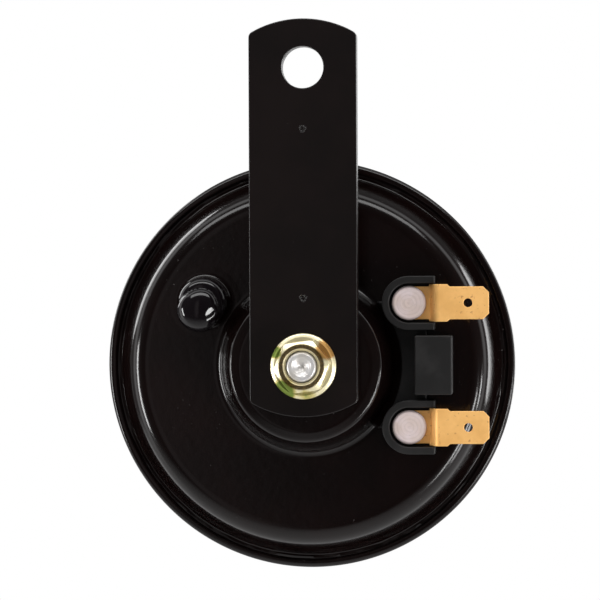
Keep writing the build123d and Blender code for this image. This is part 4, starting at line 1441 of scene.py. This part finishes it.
@dataclass
class ContactLeaf:
    """Spring leaf of the breaker: a clamped strip that bends before its tab, which the armature lifts."""

    middle: tuple[float, float] = (-3.005, 23.2)
    turn: float = math.radians(212.51)
    ends: tuple[float, float] = (-5.0, 13.8)
    half_width: float = 2.3
    tab: tuple[float, float] = (7.94, 11.94)
    tab_reach: float = 14.876
    rivet_place: float = 2.8
    hole_radius: float = 1.4
    underside: float = 4.3
    sheet: float = 0.3
    bend: tuple[float, float] = (5.0, 7.9)

    def lie(self, along: Array, across: Array, level: Array) -> Array:
        """Turns a place on the leaf about its middle onto the horn.

        Args:
            along: Places along the strip, from between its rivets.
            across: Places across it, towards the horn's axis.
            level: Levels above the leaf's underside.

        Returns:
            The points.
        """
        along, across, level = np.broadcast_arrays(along, across, level)
        x = self.middle[0] + along * math.cos(self.turn) - across * math.sin(self.turn)
        z = self.middle[1] + along * math.sin(self.turn) + across * math.cos(self.turn)
        return np.stack((x, z, self.underside + level), axis=-1)

    def build(self) -> None:
        """Makes the leaf with a lattice over its bend."""
        (back, tip), (near, far), half = self.ends, self.tab, self.half_width
        points = [(back, -half), (tip, -half), (tip, half), (far, half), (far, self.tab_reach)]
        points += [(near, self.tab_reach), (near, half), (back, half)]
        radii = [0.4, 0.4, 0.4, 0.3, 0.4, 0.4, 0.3, 0.4]
        outline = rounded_loop(points, radii, 0.4)
        holes = [circle(self.hole_radius, (place, 0.0), 48) for place in (-self.rivet_place, self.rivet_place)]
        grid = np.meshgrid(np.arange(self.bend[0] - 0.3, self.bend[1] + 0.3, 0.25), np.arange(-2.0, 2.1, 0.5))
        plate = Plate(outline, self.sheet, 0.05, holes, np.column_stack([side.ravel() for side in grid]))
        piece = plate.onto(Skin("breaker_spring_leaf"), self.lie).piece(50.0)
        dress(piece, Finishes.SPRING, None, "contact_leaf")
        start, end = (self.lie(np.float64(along), np.float64(0.0), np.float64(0.0)) for along in self.bend)
        placed(*start).tolist()
        placed(*end).tolist()
        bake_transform(piece)


@dataclass
class Studio:
    """Floor, light and the camera at the photograph's angle."""

    floor_level: float = -0.14
    floor_radius: float = 0.32
    floor_back: float = 0.14
    floor_tone: float = 0.62
    fade_start: float = 0.35
    glow: float = 0.05
    fill: float = 0.62
    brightest: float = 1.6
    window: Colour = (0.27, 0.25, 0.25)
    window_sides: tuple[tuple[float, float], tuple[float, float]] = ((-0.07, -0.12), (-0.4, -0.2))
    window_depth: tuple[float, float] = (-0.85, -0.95)
    room: Sequence[tuple[float, float]] = (
        (-1.0, 0.03),
        (-0.9, 0.05),
        (-0.6, 0.08),
        (-0.2, 0.1),
        (-0.04, 1.6),
        (0.16, 1.6),
        (0.32, 0.2),
        (0.6, 0.14),
        (0.88, 0.1),
        (0.97, 1.0),
    )
    focal: float = 226.49
    eye: tuple[float, float, float] = (0.0502, -0.7174, -0.0411)
    turn: tuple[float, float, float] = (math.radians(89.74), math.radians(0.24), math.radians(4.05))
    target: tuple[float, float, float] = (0.0, 0.02, -0.057)
    distance: float = 0.8
    lamps: Sequence[tuple[str, float, float, tuple[float, float], float]] = (
        ("left_box", 70.0, 188.0, (0.36, 0.12), 2.6),
        ("right_box", 72.0, -11.0, (0.14, 0.08), 0.8),
        ("low_right_box", 66.0, -30.0, (0.2, 0.14), 1.6),
        ("right_strip", 50.0, -30.0, (0.4, 0.08), 2.0),
        ("top_box", 58.0, 93.0, (1.2, 0.24), 4.4),
        ("front_left_box", 125.0, 150.0, (0.5, 0.4), 2.4),
        ("front_right_box", 140.0, 10.0, (0.5, 0.4), 2.4),
    )

    def camera(self) -> None:
        """Camera looking along the horn's axis, turned a little to its left."""
        data = bpy.data.cameras.new("camera")
        data.lens = self.focal
        data.sensor_width = 36.0
        data.clip_start, data.clip_end = 0.01, 20.0
        eye = linked("camera", data)
        eye.location = self.eye
        eye.rotation_euler = self.turn
        bpy.context.scene.camera = eye

    def floor(self) -> None:
        """A round pale floor under the horn: a net of radius and angle, which fades into the backdrop at its rim."""
        angle = round_angles(96)
        radius = np.linspace(0.0, self.floor_radius, 12)[:, None]
        back = radius * np.sin(angle) + self.floor_back
        net = np.stack(np.broadcast_arrays(radius * np.cos(angle), back, np.float64(self.floor_level)), axis=-1)
        mesh = bpy.data.meshes.new("pale_floor")
        mesh.from_pydata(net.reshape(-1, 3).tolist(), [], net_faces(*net.shape[:2], False, True).tolist())
        floor = linked("pale_floor", mesh)
        material, sheet = material_sheet("pale_floor")
        middle = (0.0, self.floor_back, self.floor_level)
        away = sheet.distance(sheet.place(), middle)
        body = sheet.node("ShaderNodeBsdfDiffuse", None, {"Color": (*(self.floor_tone,) * 3, 1.0)})
        feeds = {"Color": (1.0, 1.0, 1.0, 1.0), "Strength": self.glow * self.looks(sheet)}
        glow = sheet.node("ShaderNodeEmission", None, feeds)
        near = sheet.node("ShaderNodeAddShader", None, {0: body, 1: glow})
        far = sheet.node("ShaderNodeBsdfTransparent", None, {"Color": (1.0, 1.0, 1.0, 1.0)})
        fade = away.between(self.fade_start * self.floor_radius, self.floor_radius)
        whole = sheet.node("ShaderNodeMixShader", None, {0: fade, 1: near, 2: far})
        sheet.node("ShaderNodeOutputMaterial", None, {"Surface": whole})
        mesh.materials.append(material)

    def looks(self, sheet: ShaderSheet) -> Wire:
        """1 where the camera, a shiny surface or a clear one looks at the background, and 0 for the light it gives.

        Args:
            sheet: The nodes that it is added to.

        Returns:
            The value.
        """
        kinds = ("Is Camera Ray", "Is Glossy Ray", "Is Transmission Ray")
        camera, glossy, clear = (sheet.node("ShaderNodeLightPath", out=kind) for kind in kinds)
        return camera.largest(glossy).largest(clear)

    def world(self) -> None:
        """White background, and the room on the near side of the horn, which only its own surfaces mirror.

        The room's tone goes by how far a direction points from the rear, -1, to the front, 1, where the backdrop is.
        """
        world = bpy.data.worlds.new("studio")
        bpy.context.scene.world = world
        world.use_nodes = True
        sheet = ShaderSheet(world.node_tree)
        way = sheet.node("ShaderNodeTexCoord", out="Generated")
        side, along = (sheet.node("ShaderNodeSeparateXYZ", None, {0: way}, axis) for axis in ("X", "Y"))
        stops = [(0.5 * place + 0.5, (tone / self.brightest,) * 3) for place, tone in self.room]
        room = sheet.ramp(0.5 * along + 0.5, stops)
        room = sheet.node("ShaderNodeVectorMath", {"operation": "SCALE"}, {0: room, "Scale": self.brightest}, 0)
        right, left = self.window_sides
        window = side.between(*right) * side.between(*left) * along.between(*self.window_depth)
        room = sheet.blend(window, room, self.window)
        light = sheet.blend(self.looks(sheet), (self.fill,) * 3, room)
        camera = sheet.node("ShaderNodeLightPath", out="Is Camera Ray")
        shown = sheet.blend(camera, light, (1.0, 1.0, 1.0))
        sky = sheet.node("ShaderNodeBackground", None, {"Color": shown, "Strength": 1.0})
        sheet.node("ShaderNodeOutputWorld", None, {"Surface": sky})

    def box_light(self, name: str, lean: float, turn: float, size: tuple[float, float], power: float) -> None:
        """A soft box by its direction from the horn: lean from straight behind it, and turn from +X about the axis.

        Args:
            name: Its name.
            lean: Degrees from the horn's rear axis.
            turn: Degrees about that axis, upwards from +X.
            size: How wide it is round the axis, and how deep along it.
            power: Its power in watts.
        """
        lean, turn = math.radians(lean), math.radians(turn)
        way = Vector((math.sin(lean) * math.cos(turn), -math.cos(lean), math.sin(lean) * math.sin(turn)))
        data = bpy.data.lights.new(name, "AREA")
        data.shape = "RECTANGLE"
        data.size, data.size_y = size
        data.energy = power
        side = Vector((-math.sin(turn), 0.0, math.cos(turn)))
        turned = Matrix((side, way.cross(side), way)).transposed().to_4x4()
        linked(name, data).matrix_world = Matrix.Translation(Vector(self.target) + self.distance * way) @ turned

    def build(self) -> None:
        """Sets the view, the floor and the lamps."""
        bpy.context.scene.view_settings.view_transform = "Standard"
        self.camera()
        self.floor()
        self.world()
        for lamp in self.lamps:
            self.box_light(*lamp)


PLAIN_NODES: dict[Finishes, tuple[str, ...]] = {
    Finishes.BOARD: ("gasket_rear", "gasket_front"),
    Finishes.IRON: (
        "armature",
        "clamp_washer_rear",
        "clamp_washer_front",
        "spacer_bush",
        "lock_washer",
        "yoke_plate",
        "adjusting_screw",
    ),
    Finishes.STEEL: ("rivet_washers", "breaker_rivets"),
    Finishes.BOBBIN: ("coil_bobbin",),
    Finishes.COPPER: ("coil_winding", "coil_lead_upper", "coil_lead_breaker"),
    Finishes.SLEEVE: ("arm_lead",),
    Finishes.LAMINATE: ("inner_insulator", "breaker_pad_front", "breaker_pad_middle", "breaker_pad_rear"),
    Finishes.SPRING: ("fixed_arm",),
    Finishes.SILVER: ("moving_contact", "fixed_contact"),
}


def dress_nodes(nodes: dict[str, bpy.types.Object]) -> None:
    """Gives the nodes that stay as they are their finishes.

    Args:
        nodes: The frame's nodes by name.
    """
    for finish, names in PLAIN_NODES.items():
        for name in names:
            data = nodes[name].data
            data.materials.clear()
            data.materials.append(finish.value.made())
            log.info("%s: %s", name, finish.value.name)


def main() -> None:
    """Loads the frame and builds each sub-assembly on it."""
    logging.basicConfig(level=logging.INFO, format="%(message)s")
    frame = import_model()
    Studio().build()
    for assembly in (Housing(), Seal(), Bracket(), StudAndNut(), Terminals(), Vibrator(), ContactLeaf()):
        assembly.build()
        log.info("built %s", type(assembly).__name__)
    dress_nodes(frame["nodes"])


if __name__ == "__main__":
    main()
